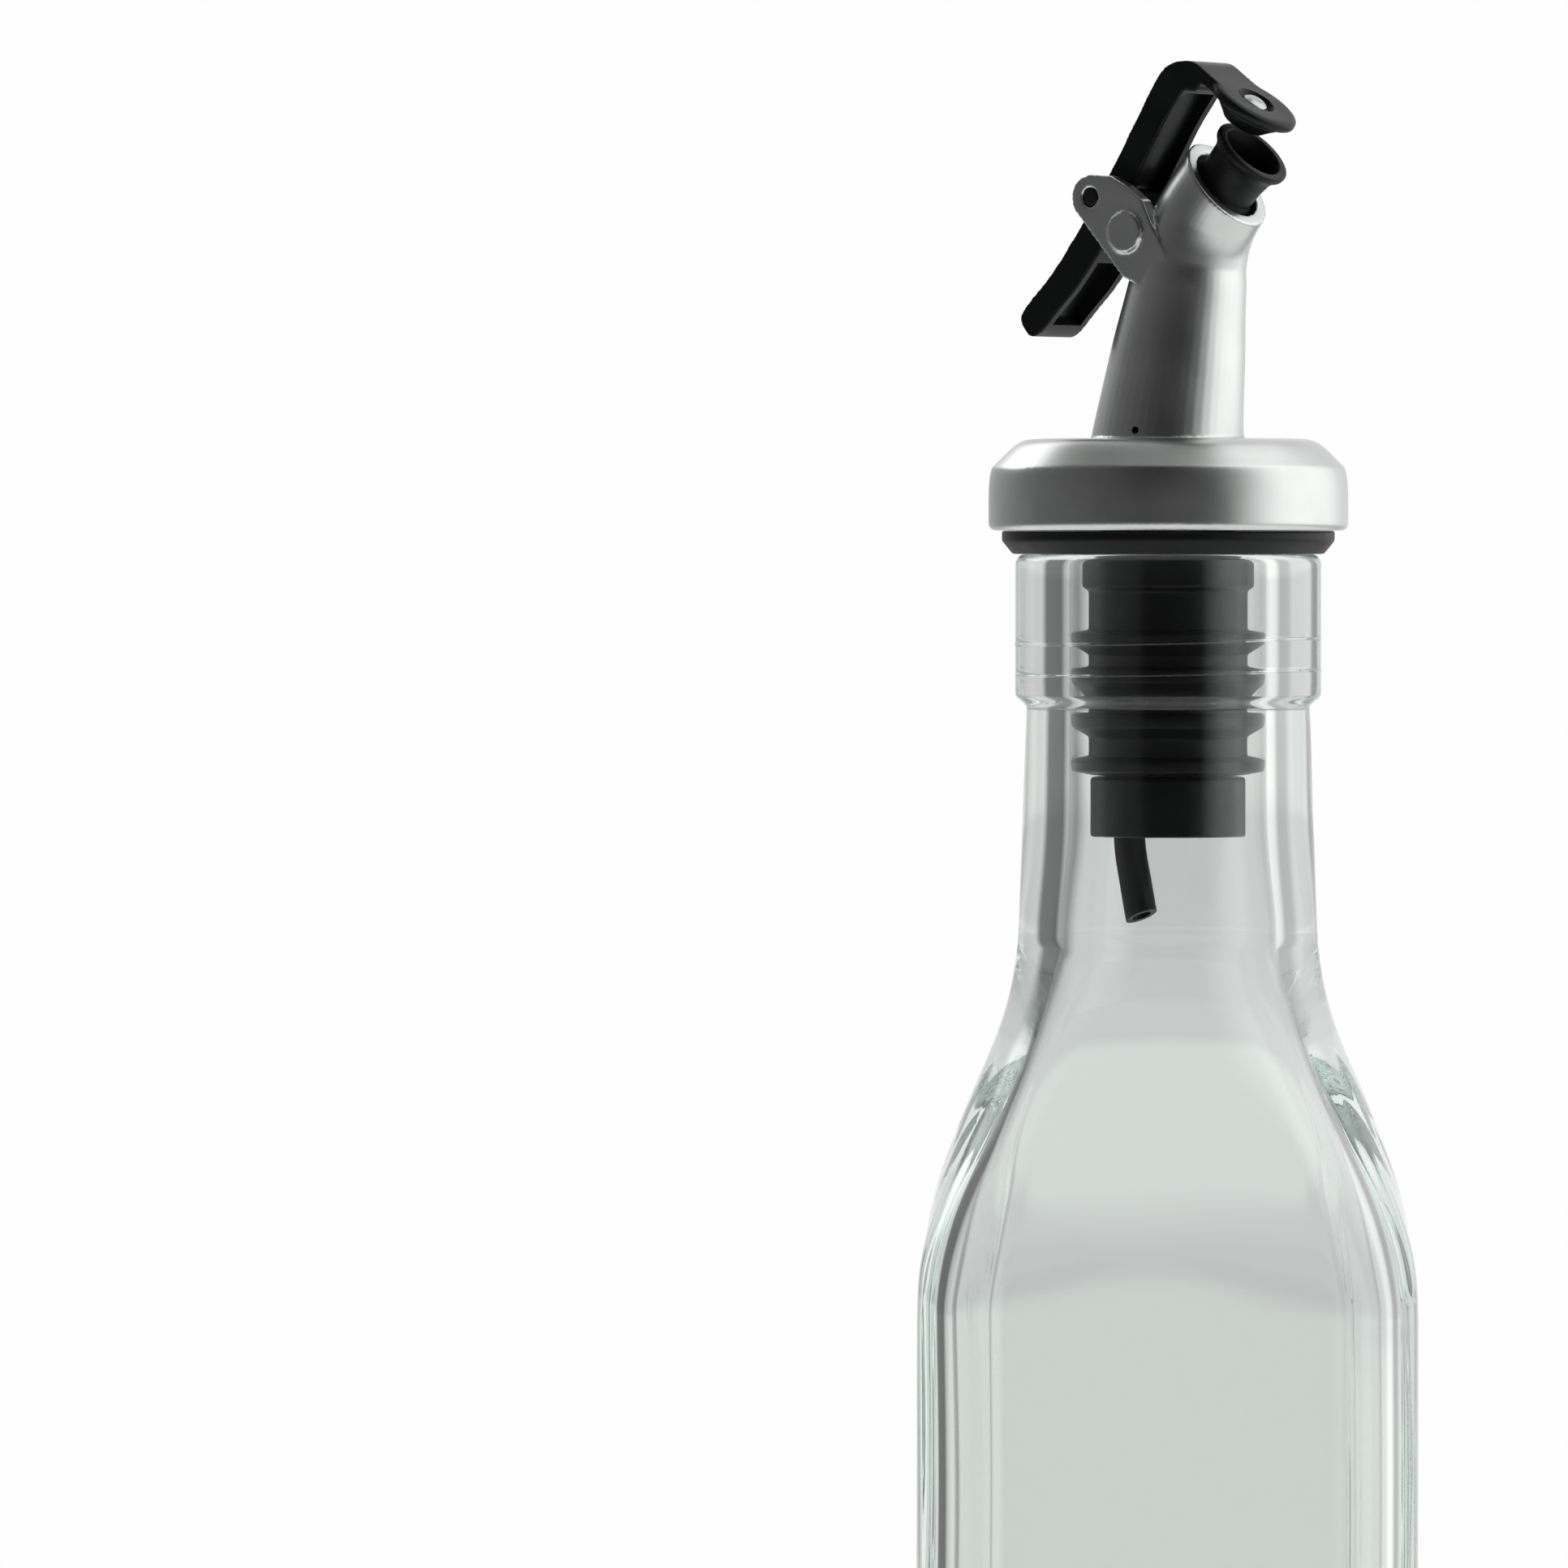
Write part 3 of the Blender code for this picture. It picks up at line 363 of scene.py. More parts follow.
def outer_half(depth):
    """Half width of the neck and shoulder, eased over NECK_EASING where the two meet."""
    total = 0.0
    for offset in spread(-NECK_EASING, NECK_EASING, NECK_EASING_SAMPLES):
        at = depth + offset
        if at < NECK_FOOT_DEPTH:
            share = (at - RING_HEIGHT) / (NECK_FOOT_DEPTH - RING_HEIGHT)
            total += NECK_TOP_RADIUS + (NECK_FOOT_RADIUS - NECK_TOP_RADIUS) * share
        else:
            total += shoulder_half(at, NECK_FOOT_RADIUS, BODY_HALF, NECK_FOOT_DEPTH, SHOULDER_DEPTH)
    return total / NECK_EASING_SAMPLES


def outer_profile():
    """Rings (half, z, squareness, corner) from the underside up to the rim."""
    rings = []
    for share in spread(0.04, 1.0, 14):
        half = PUSH_UP_HALF * share
        height = PUSH_UP_HEIGHT * (1.0 - smooth((share - PUSH_UP_FLAT) / (1.0 - PUSH_UP_FLAT)))
        squareness = BASE_SQUARENESS * smooth(share * BASE_SQUARING)
        rings.append((half, height, squareness, BODY_CORNER))
    heel = arc((BODY_HALF - HEEL_RADIUS, HEEL_RADIUS), HEEL_RADIUS, -90.0, 0.0, 16)
    rings += [(half, z, 1.0, BODY_CORNER) for half, z in heel]
    for z in spread(HEEL_RADIUS + 3.0 * MM, RIM_Z - SHOULDER_DEPTH - NECK_EASING - 2.0 * MM, 34):
        rings.append((BODY_HALF, z, 1.0, BODY_CORNER))
    for depth in spread(SHOULDER_DEPTH + NECK_EASING, NECK_FOOT_DEPTH - NECK_EASING, 64):
        squareness = smooth((depth - NECK_FOOT_DEPTH) / (SHOULDER_DEPTH - NECK_FOOT_DEPTH))
        rings.append((outer_half(depth), RIM_Z - depth, squareness, BODY_CORNER))
    for share in spread(0.28, 0.97, 12):
        depth = NECK_FOOT_DEPTH + (RING_HEIGHT - NECK_FOOT_DEPTH) * share
        half = NECK_FOOT_RADIUS + (NECK_TOP_RADIUS - NECK_FOOT_RADIUS) * share
        rings.append((half, RIM_Z - depth, 0.0, BODY_CORNER))
    step = RING_RADIUS - NECK_TOP_RADIUS
    ring_foot = RIM_Z - RING_HEIGHT
    for share in spread(0.0, 1.0, 9):
        half = NECK_TOP_RADIUS + step * smooth(share)
        rings.append((half, ring_foot - 0.5 * MM + 1.3 * MM * share, 0.0, BODY_CORNER))
    seams = []
    for depth in SEAM_DEPTHS:
        for share in spread(-1.5, 1.5, 13):
            rise = SEAM_RISE * max(0.0, 1.0 - abs(share))
            seams.append((RING_RADIUS + rise, RIM_Z - depth + share * SEAM_HALF_WIDTH))
    seams.sort(key=lambda ring: ring[1])
    rings += [(half, z, 0.0, BODY_CORNER) for half, z in seams]
    for z in spread(RIM_Z - 6.5 * MM, RIM_Z - RIM_FILLET - 0.4 * MM, 4):
        rings.append((RING_RADIUS, z, 0.0, BODY_CORNER))
    rim = arc((RING_RADIUS - RIM_FILLET, RIM_Z - RIM_FILLET), RIM_FILLET, 0.0, 90.0, 8)
    rings += [(half, z, 0.0, BODY_CORNER) for half, z in rim]
    return rings


def inner_profile():
    """Rings from the rim down the bore and the inside to the floor."""
    rim = arc((BORE_RADIUS + RIM_FILLET, RIM_Z - RIM_FILLET), RIM_FILLET, 90.0, 180.0, 8)
    rings = [(half, z, 0.0, INNER_CORNER) for half, z in rim]
    for depth in spread(3.0 * MM, BORE_DEPTH, 9):
        rings.append((BORE_RADIUS, RIM_Z - depth, 0.0, INNER_CORNER))
    start = NECK_FOOT_DEPTH - 4.0 * MM
    end = SHOULDER_DEPTH + 3.0 * MM
    for share in spread(0.12, 0.94, 8):
        depth = BORE_DEPTH + (start - BORE_DEPTH) * share
        half = BORE_RADIUS + BORE_SPREAD * smooth(share)
        rings.append((half, RIM_Z - depth, 0.0, INNER_CORNER))
    for depth in spread(start, end, 48):
        half = shoulder_half(depth, BORE_RADIUS + BORE_SPREAD, BODY_HALF - WALL, start, end)
        squareness = smooth((depth - start) / (end - start))
        rings.append((half, RIM_Z - depth, squareness, INNER_CORNER))
    floor_edge = BODY_HALF - WALL - FLOOR_RADIUS
    floor_top = FLOOR_HEIGHT + FLOOR_RADIUS
    for z in spread(RIM_Z - end - 3.0 * MM, floor_top + 3.0 * MM, 34):
        rings.append((BODY_HALF - WALL, z, 1.0, INNER_CORNER))
    floor = arc((floor_edge, floor_top), FLOOR_RADIUS, 0.0, -90.0, 14)
    rings += [(half, z, 1.0, INNER_CORNER) for half, z in floor]
    for share in spread(0.94, 0.04, 16):
        half = floor_edge * share
        height = FLOOR_HEIGHT + PUSH_UP_HEIGHT * (1.0 - smooth((share - 0.45) / 0.5))
        squareness = BASE_SQUARENESS * smooth(share * BASE_SQUARING)
        rings.append((half, height, squareness, INNER_CORNER))
    return rings


def ring_points(half, z, squareness, corner, inside):
    """One ring of points; the inside wanders slowly, and the mould's seams tilt a little."""
    points = []
    seam_top, seam_foot = (RIM_Z - depth for depth in SEAM_TILT_DEPTHS)
    for step in range(RING_POINTS):
        angle = 2.0 * math.pi * step / RING_POINTS
        square = square_radius(angle, half, min(corner, half * 0.99))
        radius = half + squareness * (square - half)
        point = Vector((radius * math.cos(angle), radius * math.sin(angle), z))
        if inside and squareness > 0.0:
            place = Vector((point.x, point.y, point.z * 0.6)) * INSIDE_WANDER_SCALE
            radius += noise.noise(place) * INSIDE_WANDER * squareness
        tilt = 0.0
        if not inside and seam_foot < z < seam_top:
            share = (seam_top - z) / (seam_top - seam_foot)
            tilt = SEAM_TILT * point.x * math.sin(math.pi * share)
        points.append((radius * math.cos(angle), radius * math.sin(angle), z + tilt))
    return points


def glass_bottle():
    bm = bmesh.new()
    loops = []
    for half, z, squareness, corner in outer_profile():
        loops.append([bm.verts.new(p) for p in ring_points(half, z, squareness, corner, False)])
    for half, z, squareness, corner in inner_profile()[1:]:
        loops.append([bm.verts.new(p) for p in ring_points(half, z, squareness, corner, True)])
    for lower, upper in zip(loops, loops[1:]):
        for index in range(RING_POINTS):
            after = (index + 1) % RING_POINTS
            bm.faces.new((lower[index], lower[after], upper[after], upper[index]))
    bm.faces.new(reversed(loops[0]))
    bm.faces.new(loops[-1])
    bmesh.ops.recalc_face_normals(bm, faces=bm.faces)
    mesh = bpy.data.meshes.new("bottle")
    bm.to_mesh(mesh)
    bm.free()
    mesh.shade_smooth()
    mesh.materials.append(GLASS)
    bottle = bpy.data.objects.new("bottle", mesh)
    bpy.context.scene.collection.objects.link(bottle)
    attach(bottle, "bottle")
    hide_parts("glass_bottle")


# ---------------------------------------------------------------- mesh helpers
POURER_FRAME = Matrix.Translation((0.0, 0.0, RIM_Z)) @ Matrix.Rotation(
    math.radians(POURER_YAW_DEG), 4, "Z"
)
LEVER_FRAME = (
    POURER_FRAME
    @ Matrix.Translation((PIN_X, 0.0, DOME_TOP + PIN_Z))
    @ Matrix.Rotation(math.radians(-LEVER_OPEN_DEG), 4, "Y")
)


def object_from_bmesh(name, bm):
    bmesh.ops.recalc_face_normals(bm, faces=bm.faces)
    mesh = bpy.data.meshes.new(name)
    bm.to_mesh(mesh)
    bm.free()
    made = bpy.data.objects.new(name, mesh)
    bpy.context.scene.collection.objects.link(made)
    return made


def baked(source):
    """Replace an object by a mesh object with its modifiers or its curve's bevel done."""
    bpy.context.view_layer.update()
    depsgraph = bpy.context.evaluated_depsgraph_get()
    mesh = bpy.data.meshes.new_from_object(source.evaluated_get(depsgraph))
    made = bpy.data.objects.new(source.name + "_mesh", mesh)
    bpy.context.scene.collection.objects.link(made)
    bpy.data.objects.remove(source, do_unlink=True)
    return made


def lathe(name, outline, steps=128):
    """Turn a closed or axis-to-axis (radius, z) outline about Z."""
    bm = bmesh.new()
    loops = []
    for radius, z in outline:
        if radius == 0.0:
            loops.append([bm.verts.new((0.0, 0.0, z))])
            continue
        angles = [2.0 * math.pi * step / steps for step in range(steps)]
        loops.append([bm.verts.new((radius * math.cos(a), radius * math.sin(a), z)) for a in angles])
    pairs = list(zip(loops, loops[1:]))
    if outline[0][0] > 0.0:
        pairs.append((loops[-1], loops[0]))
    for first, second in pairs:
        for index in range(steps):
            after = (index + 1) % steps
            corners = [first[index % len(first)], first[after % len(first)],
                       second[after % len(second)], second[index % len(second)]]
            bm.faces.new(list(dict.fromkeys(corners)))
    return object_from_bmesh(name, bm)


def softened(outline, radius, count=4, closed=True):
    """Round every corner of an outline by about the given radius."""
    points = [Vector(point) for point in outline]
    rounded = []
    for index, point in enumerate(points):
        at_end = index in (0, len(points) - 1)
        if at_end and not closed:
            rounded.append(tuple(point))
            continue
        before = points[index - 1]
        after = points[(index + 1) % len(points)]
        back = (before - point) * min(0.45, radius / max((before - point).length, 1e-9))
        ahead = (after - point) * min(0.45, radius / max((after - point).length, 1e-9))
        for share in spread(0.0, 1.0, count):
            start = point + back * (1.0 - share)
            end = point + ahead * share
            rounded.append(tuple(start + (end - start) * share))
    return rounded


def rod(name, stations, sides=48, steps=10):
    """A closed round bar along (x, y, z, radius) stations on a smooth curve."""
    curve = bpy.data.curves.new(name, "CURVE")
    curve.dimensions = "3D"
    curve.bevel_depth = MM
    curve.bevel_resolution = sides // 4 - 1
    curve.use_fill_caps = True
    curve.resolution_u = steps
    spline = curve.splines.new("BEZIER")
    spline.bezier_points.add(len(stations) - 1)
    for point, (x, y, z, radius) in zip(spline.bezier_points, stations):
        point.co = (x, y, z)
        point.radius = radius / MM
        point.handle_left_type = "AUTO"
        point.handle_right_type = "AUTO"
    source = bpy.data.objects.new(name, curve)
    bpy.context.scene.collection.objects.link(source)
    return baked(source)


def cylinder(name, radius, start, end, steps=64, end_radius=None):
    start = Vector(start)
    end = Vector(end)
    bm = bmesh.new()
    bmesh.ops.create_cone(
        bm, cap_ends=True, segments=steps, radius1=radius,
        radius2=radius if end_radius is None else end_radius, depth=(end - start).length,
    )
    turn = (end - start).to_track_quat("Z", "Y").to_matrix().to_4x4()
    bmesh.ops.transform(bm, verts=bm.verts, matrix=Matrix.Translation((start + end) / 2) @ turn)
    return object_from_bmesh(name, bm)


def flowing(points, steps=8):
    """A smooth open line through points."""
    line = []
    last = len(points) - 1
    for index in range(last):
        a, b, c, d = (Vector(points[min(max(index + k, 0), last)]) for k in (-1, 0, 1, 2))
        for step in range(steps):
            t = step / steps
            line.append(tuple(0.5 * (
                2.0 * b + (c - a) * t + (2.0 * a - 5.0 * b + 4.0 * c - d) * t * t
                + (3.0 * b - a - 3.0 * c + d) * t * t * t
            )))
    line.append(tuple(points[-1]))
    return line


def plate(name, outline, low_y, high_y):
    """A flat plate in the x-z plane between two y values."""
    bm = bmesh.new()
    sides = []
    for y in (low_y, high_y):
        sides.append([bm.verts.new((x, y, z)) for x, z in outline])
    bm.faces.new(sides[0])
    bm.faces.new(reversed(sides[1]))
    for index in range(len(outline)):
        after = (index + 1) % len(outline)
        bm.faces.new((sides[0][index], sides[0][after], sides[1][after], sides[1][index]))
    return object_from_bmesh(name, bm)


def cut(target, tool, operation="DIFFERENCE"):
    boolean = target.modifiers.new("cut", "BOOLEAN")
    boolean.operation = operation
    boolean.solver = "EXACT"
    boolean.object = tool
    made = baked(target)
    bpy.data.objects.remove(tool, do_unlink=True)
    return made


def joined(name, parts):
    bm = bmesh.new()
    for part in parts:
        bm.from_mesh(part.data)
        bpy.data.objects.remove(part, do_unlink=True)
    mesh = bpy.data.meshes.new(name)
    bm.to_mesh(mesh)
    bm.free()
    made = bpy.data.objects.new(name, mesh)
    bpy.context.scene.collection.objects.link(made)
    return made


# Turns a shape well away from the voxel grid's planes, which would leave terraces in flat sides.
OFF_GRID = Matrix.Rotation(math.radians(35.3), 4, "Y") @ Matrix.Rotation(math.radians(45.0), 4, "X")


def cast(source, grain, smoothing):
    """Fuse closed shapes into one skin and melt their corners, as in a casting or moulding."""
    source.data.transform(OFF_GRID)
    remesh = source.modifiers.new("fuse", "REMESH")
    remesh.mode = "VOXEL"
    remesh.voxel_size = grain
    melt = source.modifiers.new("melt", "SMOOTH")
    melt.factor = 0.5
    melt.iterations = smoothing
    skin = baked(source)
    skin.data.transform(OFF_GRID.inverted())
    return skin


def finished(source, name, matrix, material, body, node, sharp_deg=40.0):
    """Place a piece, give it its material, tie it to its body and hide its CAD node."""
    source.name = name
    source.data.name = name
    source.data.transform(matrix)
    source.data.materials.clear()
    source.data.materials.append(material)
    source.data.shade_smooth()
    source.data.set_sharp_from_angle(angle=math.radians(sharp_deg))
    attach(source, body)
    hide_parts(node)


def rising(tilt_deg):
    """A unit vector towards the spout's side, tilt_deg above level."""
    tilt = math.radians(tilt_deg)
    return Vector((math.cos(tilt), 0.0, math.sin(tilt)))


# ---------------------------------------------------------------- stopper
def stopper_sleeve():
    outline = [
        (SLEEVE_BORE, FLANGE_TOP), (FLANGE_RADIUS, FLANGE_TOP),
        (FLANGE_RADIUS, FLANGE_TOP - 0.9 * MM), (FLANGE_FOOT_RADIUS, FLANGE_BOTTOM),
        (SLEEVE_TOP_RADIUS, FLANGE_BOTTOM), (SLEEVE_TOP_RADIUS, -SLEEVE_TOP_DEPTH),
        (SLEEVE_RADIUS, -SLEEVE_TOP_DEPTH - 0.4 * MM),
    ]
    for depth in RIB_DEPTHS:
        outline += [(SLEEVE_RADIUS, -depth + 0.3 * MM), (RIB_RADIUS, -depth)]
        if depth != RIB_DEPTHS[-1]:
            outline.append((RIB_RADIUS - 0.1 * MM, -depth - 1.0 * MM))
            outline.append((SLEEVE_RADIUS, -depth - 2.0 * MM))
    outline += [(RIB_RADIUS - 0.1 * MM, -SLEEVE_LENGTH + 0.4 * MM), (SLEEVE_RADIUS, -SLEEVE_LENGTH)]
    outline.append((SLEEVE_BORE, -SLEEVE_LENGTH))
    sleeve = lathe("sleeve", softened(outline, 0.22 * MM))
    finished(
        sleeve, "ribbed_sleeve", POURER_FRAME, SILICONE, "sleeve", "stopper_sleeve"
    )


def stopper_core():
    foot_top = -SLEEVE_LENGTH - 0.3 * MM
    outline = [
        (CORE_AXIS_HOLE, CORE_DISC_TOP), (CORE_DISC_RADIUS, CORE_DISC_TOP),
        (CORE_DISC_RADIUS, CORE_DISC_BOTTOM), (CORE_RADIUS, CORE_DISC_BOTTOM),
        (CORE_RADIUS, foot_top), (CORE_FOOT_RADIUS, foot_top),
        (CORE_FOOT_RADIUS, -CORE_FOOT_DEPTH), (CORE_AXIS_HOLE, -CORE_FOOT_DEPTH),
    ]
    core = lathe("core", softened(outline, 0.3 * MM))
    below = -CORE_FOOT_DEPTH - MM
    above = CORE_DISC_TOP + MM
    core = cut(core, cylinder(
        "oil_bore", OIL_BORE_RADIUS, (OIL_BORE_X, 0.0, below), (OIL_BORE_X, 0.0, above)
    ))
    socket_top = -CORE_FOOT_DEPTH + 4.2 * MM
    core = cut(core, cylinder(
        "air_socket", AIR_TUBE_RADIUS + 0.15 * MM, (AIR_TUBE_X, 0.0, below),
        (AIR_TUBE_X, 0.0, socket_top), 32,
    ))
    finished(core, "core", POURER_FRAME, PLASTIC, "pourer", "stopper_core", 30.0)


def air_tube():
    top = -CORE_FOOT_DEPTH + 3.9 * MM
    foot = -CORE_FOOT_DEPTH - 0.3 * MM
    lean = math.tan(math.radians(AIR_TUBE_LEAN_DEG))

    def leaning(depth, radius):
        return (AIR_TUBE_X + depth * lean, 0.0, foot - depth, radius)

    stations = [(AIR_TUBE_X, 0.0, top, AIR_TUBE_RADIUS)]
    stations += [leaning(depth, AIR_TUBE_RADIUS) for depth in spread(0.0, AIR_TUBE_REACH, 3)]
    tube = rod("air_tube", stations, 32, 8)
    inner = [(AIR_TUBE_X, 0.0, top + MM, AIR_TUBE_BORE)]
    inner += [leaning(depth, AIR_TUBE_BORE) for depth in spread(0.0, AIR_TUBE_REACH + 2.0 * MM, 3)]
    tube = cut(tube, rod("bore", inner, 24, 8))
    cut_from = Vector(leaning(AIR_TUBE_REACH - 0.9 * MM, 0.0)[:3])
    cut_to = cut_from + rising(AIR_TUBE_CUT_DEG - 90.0) * 6.0 * MM
    tube = cut(tube, cylinder("end", 5.0 * MM, cut_from, cut_to))
    finished(
        tube, "vent_tube", POURER_FRAME, SILICONE, "pourer", "air_tube", 30.0
    )


# ---------------------------------------------------------------- housing
MOUTH = Vector((MOUTH_X, 0.0, DOME_TOP + MOUTH_Z))

# Centre x, height above the dome and outer radius up the spout; the mouth follows.
SPOUT_STATIONS = (
    (0.0 * MM, 0.0 * MM, 7.15 * MM), (1.1 * MM, 7.5 * MM, 6.3 * MM),
    (2.2 * MM, 14.0 * MM, 5.5 * MM), (2.75 * MM, 17.0 * MM, 5.15 * MM),
    (4.3 * MM, 20.4 * MM, 4.8 * MM),
)


def spout_rod(name, shrink, tip_radius, below):
    stations = [(0.0, 0.0, DOME_TOP - below, SPOUT_STATIONS[0][2] - shrink)]
    stations += [(x, 0.0, DOME_TOP + z, radius - shrink) for x, z, radius in SPOUT_STATIONS]
    stations.append((*MOUTH, tip_radius))
    stations.append((*(MOUTH + rising(SPOUT_TIP_TILT_DEG) * 4.0 * MM), tip_radius))
    return rod(name, stations, 96, 14)


def ear_outline():
    pin = (PIN_X, DOME_TOP + PIN_Z)
    outline = arc(pin, 2.1 * MM, 80.0, 222.0, 18)
    flank = [
        (-1.6, 15.0), (1.5, 13.6), (3.4, 17.0), (1.7, 20.0), (0.7, 22.1), (-1.2, 23.5), (-3.0, 24.4)
    ]
    outline += [(x * MM, DOME_TOP + z * MM) for x, z in flank]
    return outline


# The collar's outline in mm above the rim: its domed shoulder down to a crease, then its wall.
COLLAR_SHOULDER = (
    (10.5, 10.75), (12.3, 10.74), (13.4, 10.6), (14.2, 10.2), (14.9, 9.6), (15.6, 8.9),
    (16.4, 8.1),
)
COLLAR_WALL = ((16.42, 8.08), (16.56, 7.6), (16.65, 7.04), (16.72, 6.2), (16.75, 5.0))
COLLAR_EDGE = 0.7 * MM


def housing():
    centre = (COLLAR_RADIUS - DOME_FILLET, DOME_TOP - DOME_FILLET)
    inner_fillet = COLLAR_BORE - centre[0]
    outline = [(4.0 * MM, DOME_TOP)]
    outline += flowing([(x * MM, z * MM) for x, z in COLLAR_SHOULDER])
    outline += flowing([(x * MM, z * MM) for x, z in COLLAR_WALL])
    foot = (COLLAR_RADIUS - COLLAR_EDGE, COLLAR_BOTTOM + COLLAR_EDGE)
    outline += arc(foot, COLLAR_EDGE, 0.0, -90.0, 9)
    outline.append((COLLAR_BORE, COLLAR_BOTTOM))
    outline += arc((centre[0], DOME_TOP - DOME_WALL - inner_fillet), inner_fillet, 0.0, 90.0, 8)
    outline.append((4.0 * MM, DOME_TOP - DOME_WALL))
    collar = lathe("collar", outline, 192)
    spout = spout_rod("spout", 0.0, SPOUT_TIP_RADIUS, DOME_WALL * 0.6)
    way = rising(MOUTH_TILT_DEG)
    spout = cut(spout, cylinder("mouth", 9.0 * MM, MOUTH, MOUTH + way * 8.0 * MM))
    spout = cut(spout, spout_rod("inner", SPOUT_WALL, SPOUT_TIP_BORE, 5.0 * MM))
    parts = [collar, spout]
    for side in (-1.0, 1.0):
        low, high = sorted((side * EAR_INNER, side * EAR_OUTER))
        ear = plate("ear", ear_outline(), low, high)
        ear = cut(ear, cylinder(
            "pin_hole", PIN_RADIUS + 0.1 * MM, (PIN_X, -9.0 * MM, DOME_TOP + PIN_Z),
            (PIN_X, 9.0 * MM, DOME_TOP + PIN_Z), 48,
        ))
        ear = cut(ear, spout_rod("clear", SPOUT_WALL, SPOUT_TIP_BORE, 5.0 * MM))
        pad = cylinder(
            "pad", EAR_PAD_RADIUS,
            (EAR_PAD_X, side * (EAR_OUTER - 0.5 * MM), DOME_TOP + EAR_PAD_Z),
            (EAR_PAD_X, side * (EAR_OUTER + EAR_PAD_RISE), DOME_TOP + EAR_PAD_Z),
        )
        parts += [ear, pad]
    fused = cast(joined("housing", parts), HOUSING_GRAIN, HOUSING_MELT)
    vent_angle = math.radians(VENT_TURN_DEG)
    outward = Vector((math.cos(vent_angle), math.sin(vent_angle), 0.0))
    vent_at = Vector((0.0, 0.0, DOME_TOP + VENT_HEIGHT))
    fused = cut(fused, cylinder(
        "vent", VENT_RADIUS, vent_at + outward * 4.5 * MM, vent_at + outward * 9.0 * MM, 16
    ))
    finished(
        fused, "housing", POURER_FRAME, SATIN, "pourer", "pourer_housing", 60.0
    )


def along_nozzle(origin):
    """The frame of a piece turned about the nozzle's axis."""
    turn = Matrix.Rotation(math.radians(90.0 - NOZZLE_TILT_DEG), 4, "Y")
    return Matrix.Translation(origin) @ turn


def nozzle():
    lip = NOZZLE_LENGTH
    outline = [
        (3.0 * MM, lip - 0.05 * MM), (3.15 * MM, lip), (3.7 * MM, lip), (3.85 * MM, lip - 0.15 * MM),
        (3.8 * MM, lip - 0.6 * MM), (3.4 * MM, lip - 1.05 * MM), (3.15 * MM, lip - 1.6 * MM),
        (3.0 * MM, 1.2 * MM), (3.0 * MM, -0.4 * MM), (3.3 * MM, -0.9 * MM),
        (3.3 * MM, -2.4 * MM), (2.75 * MM, -2.4 * MM), (2.75 * MM, -1.1 * MM),
        (2.3 * MM, -0.8 * MM), (2.3 * MM, 1.7 * MM), (2.6 * MM, 3.1 * MM),
    ]
    made = lathe("nozzle", softened(outline, 0.14 * MM), 96)
    finished(
        made, "nozzle", POURER_FRAME @ along_nozzle(MOUTH), SILICONE, "pourer",
        "spout_nozzle",
    )


# ---------------------------------------------------------------- lever
CAP_CENTRE = MOUTH + rising(NOZZLE_TILT_DEG) * (NOZZLE_LENGTH + CAP_STANDOFF)
CAP_FROM_PIN = Vector((CAP_CENTRE.x - PIN_X, 0.0, CAP_CENTRE.z - DOME_TOP - PIN_Z))
CAP_FRAME = LEVER_FRAME @ along_nozzle(CAP_FROM_PIN)

# The open lever's side view, in mm from the dome's top: tail, back of the arm, neck, and front.
LEVER_BACK = (
    (-15.2, 11.4), (-13.8, 13.0), (-11.9, 14.8), (-10.1, 16.9), (-8.1, 19.6), (-7.0, 21.2),
    (-4.6, 24.6), (-2.4, 28.2), (0.1, 32.3), (1.1, 33.8), (1.9, 34.55), (3.1, 34.95), (5.0, 34.95),
)
LEVER_FRONT = (
    (5.3, 31.9), (3.9, 32.4), (1.4, 29.0), (-0.7, 25.6), (-3.0, 21.8), (-4.9, 18.6), (-6.3, 16.7),
    (-8.5, 14.0), (-10.9, 11.7), (-12.3, 10.2), (-13.3, 9.6), (-14.1, 9.7),
)
ARM_POCKET = ((2.6, 32.3), (4.9, 31.6), (-0.8, 22.3), (-3.5, 23.3))
TAIL_POCKET = ((-7.8, 17.1), (-5.5, 15.9), (-10.9, 9.6), (-12.6, 11.7))


def shut_from_open(x, z):
    """Turn a point of the open lever, in mm from the dome's top, back to the shut lever."""
    across = x * MM - PIN_X
    up = z * MM - PIN_Z
    angle = math.radians(-LEVER_OPEN_DEG)
    return (
        across * math.cos(angle) - up * math.sin(angle),
        across * math.sin(angle) + up * math.cos(angle),
    )


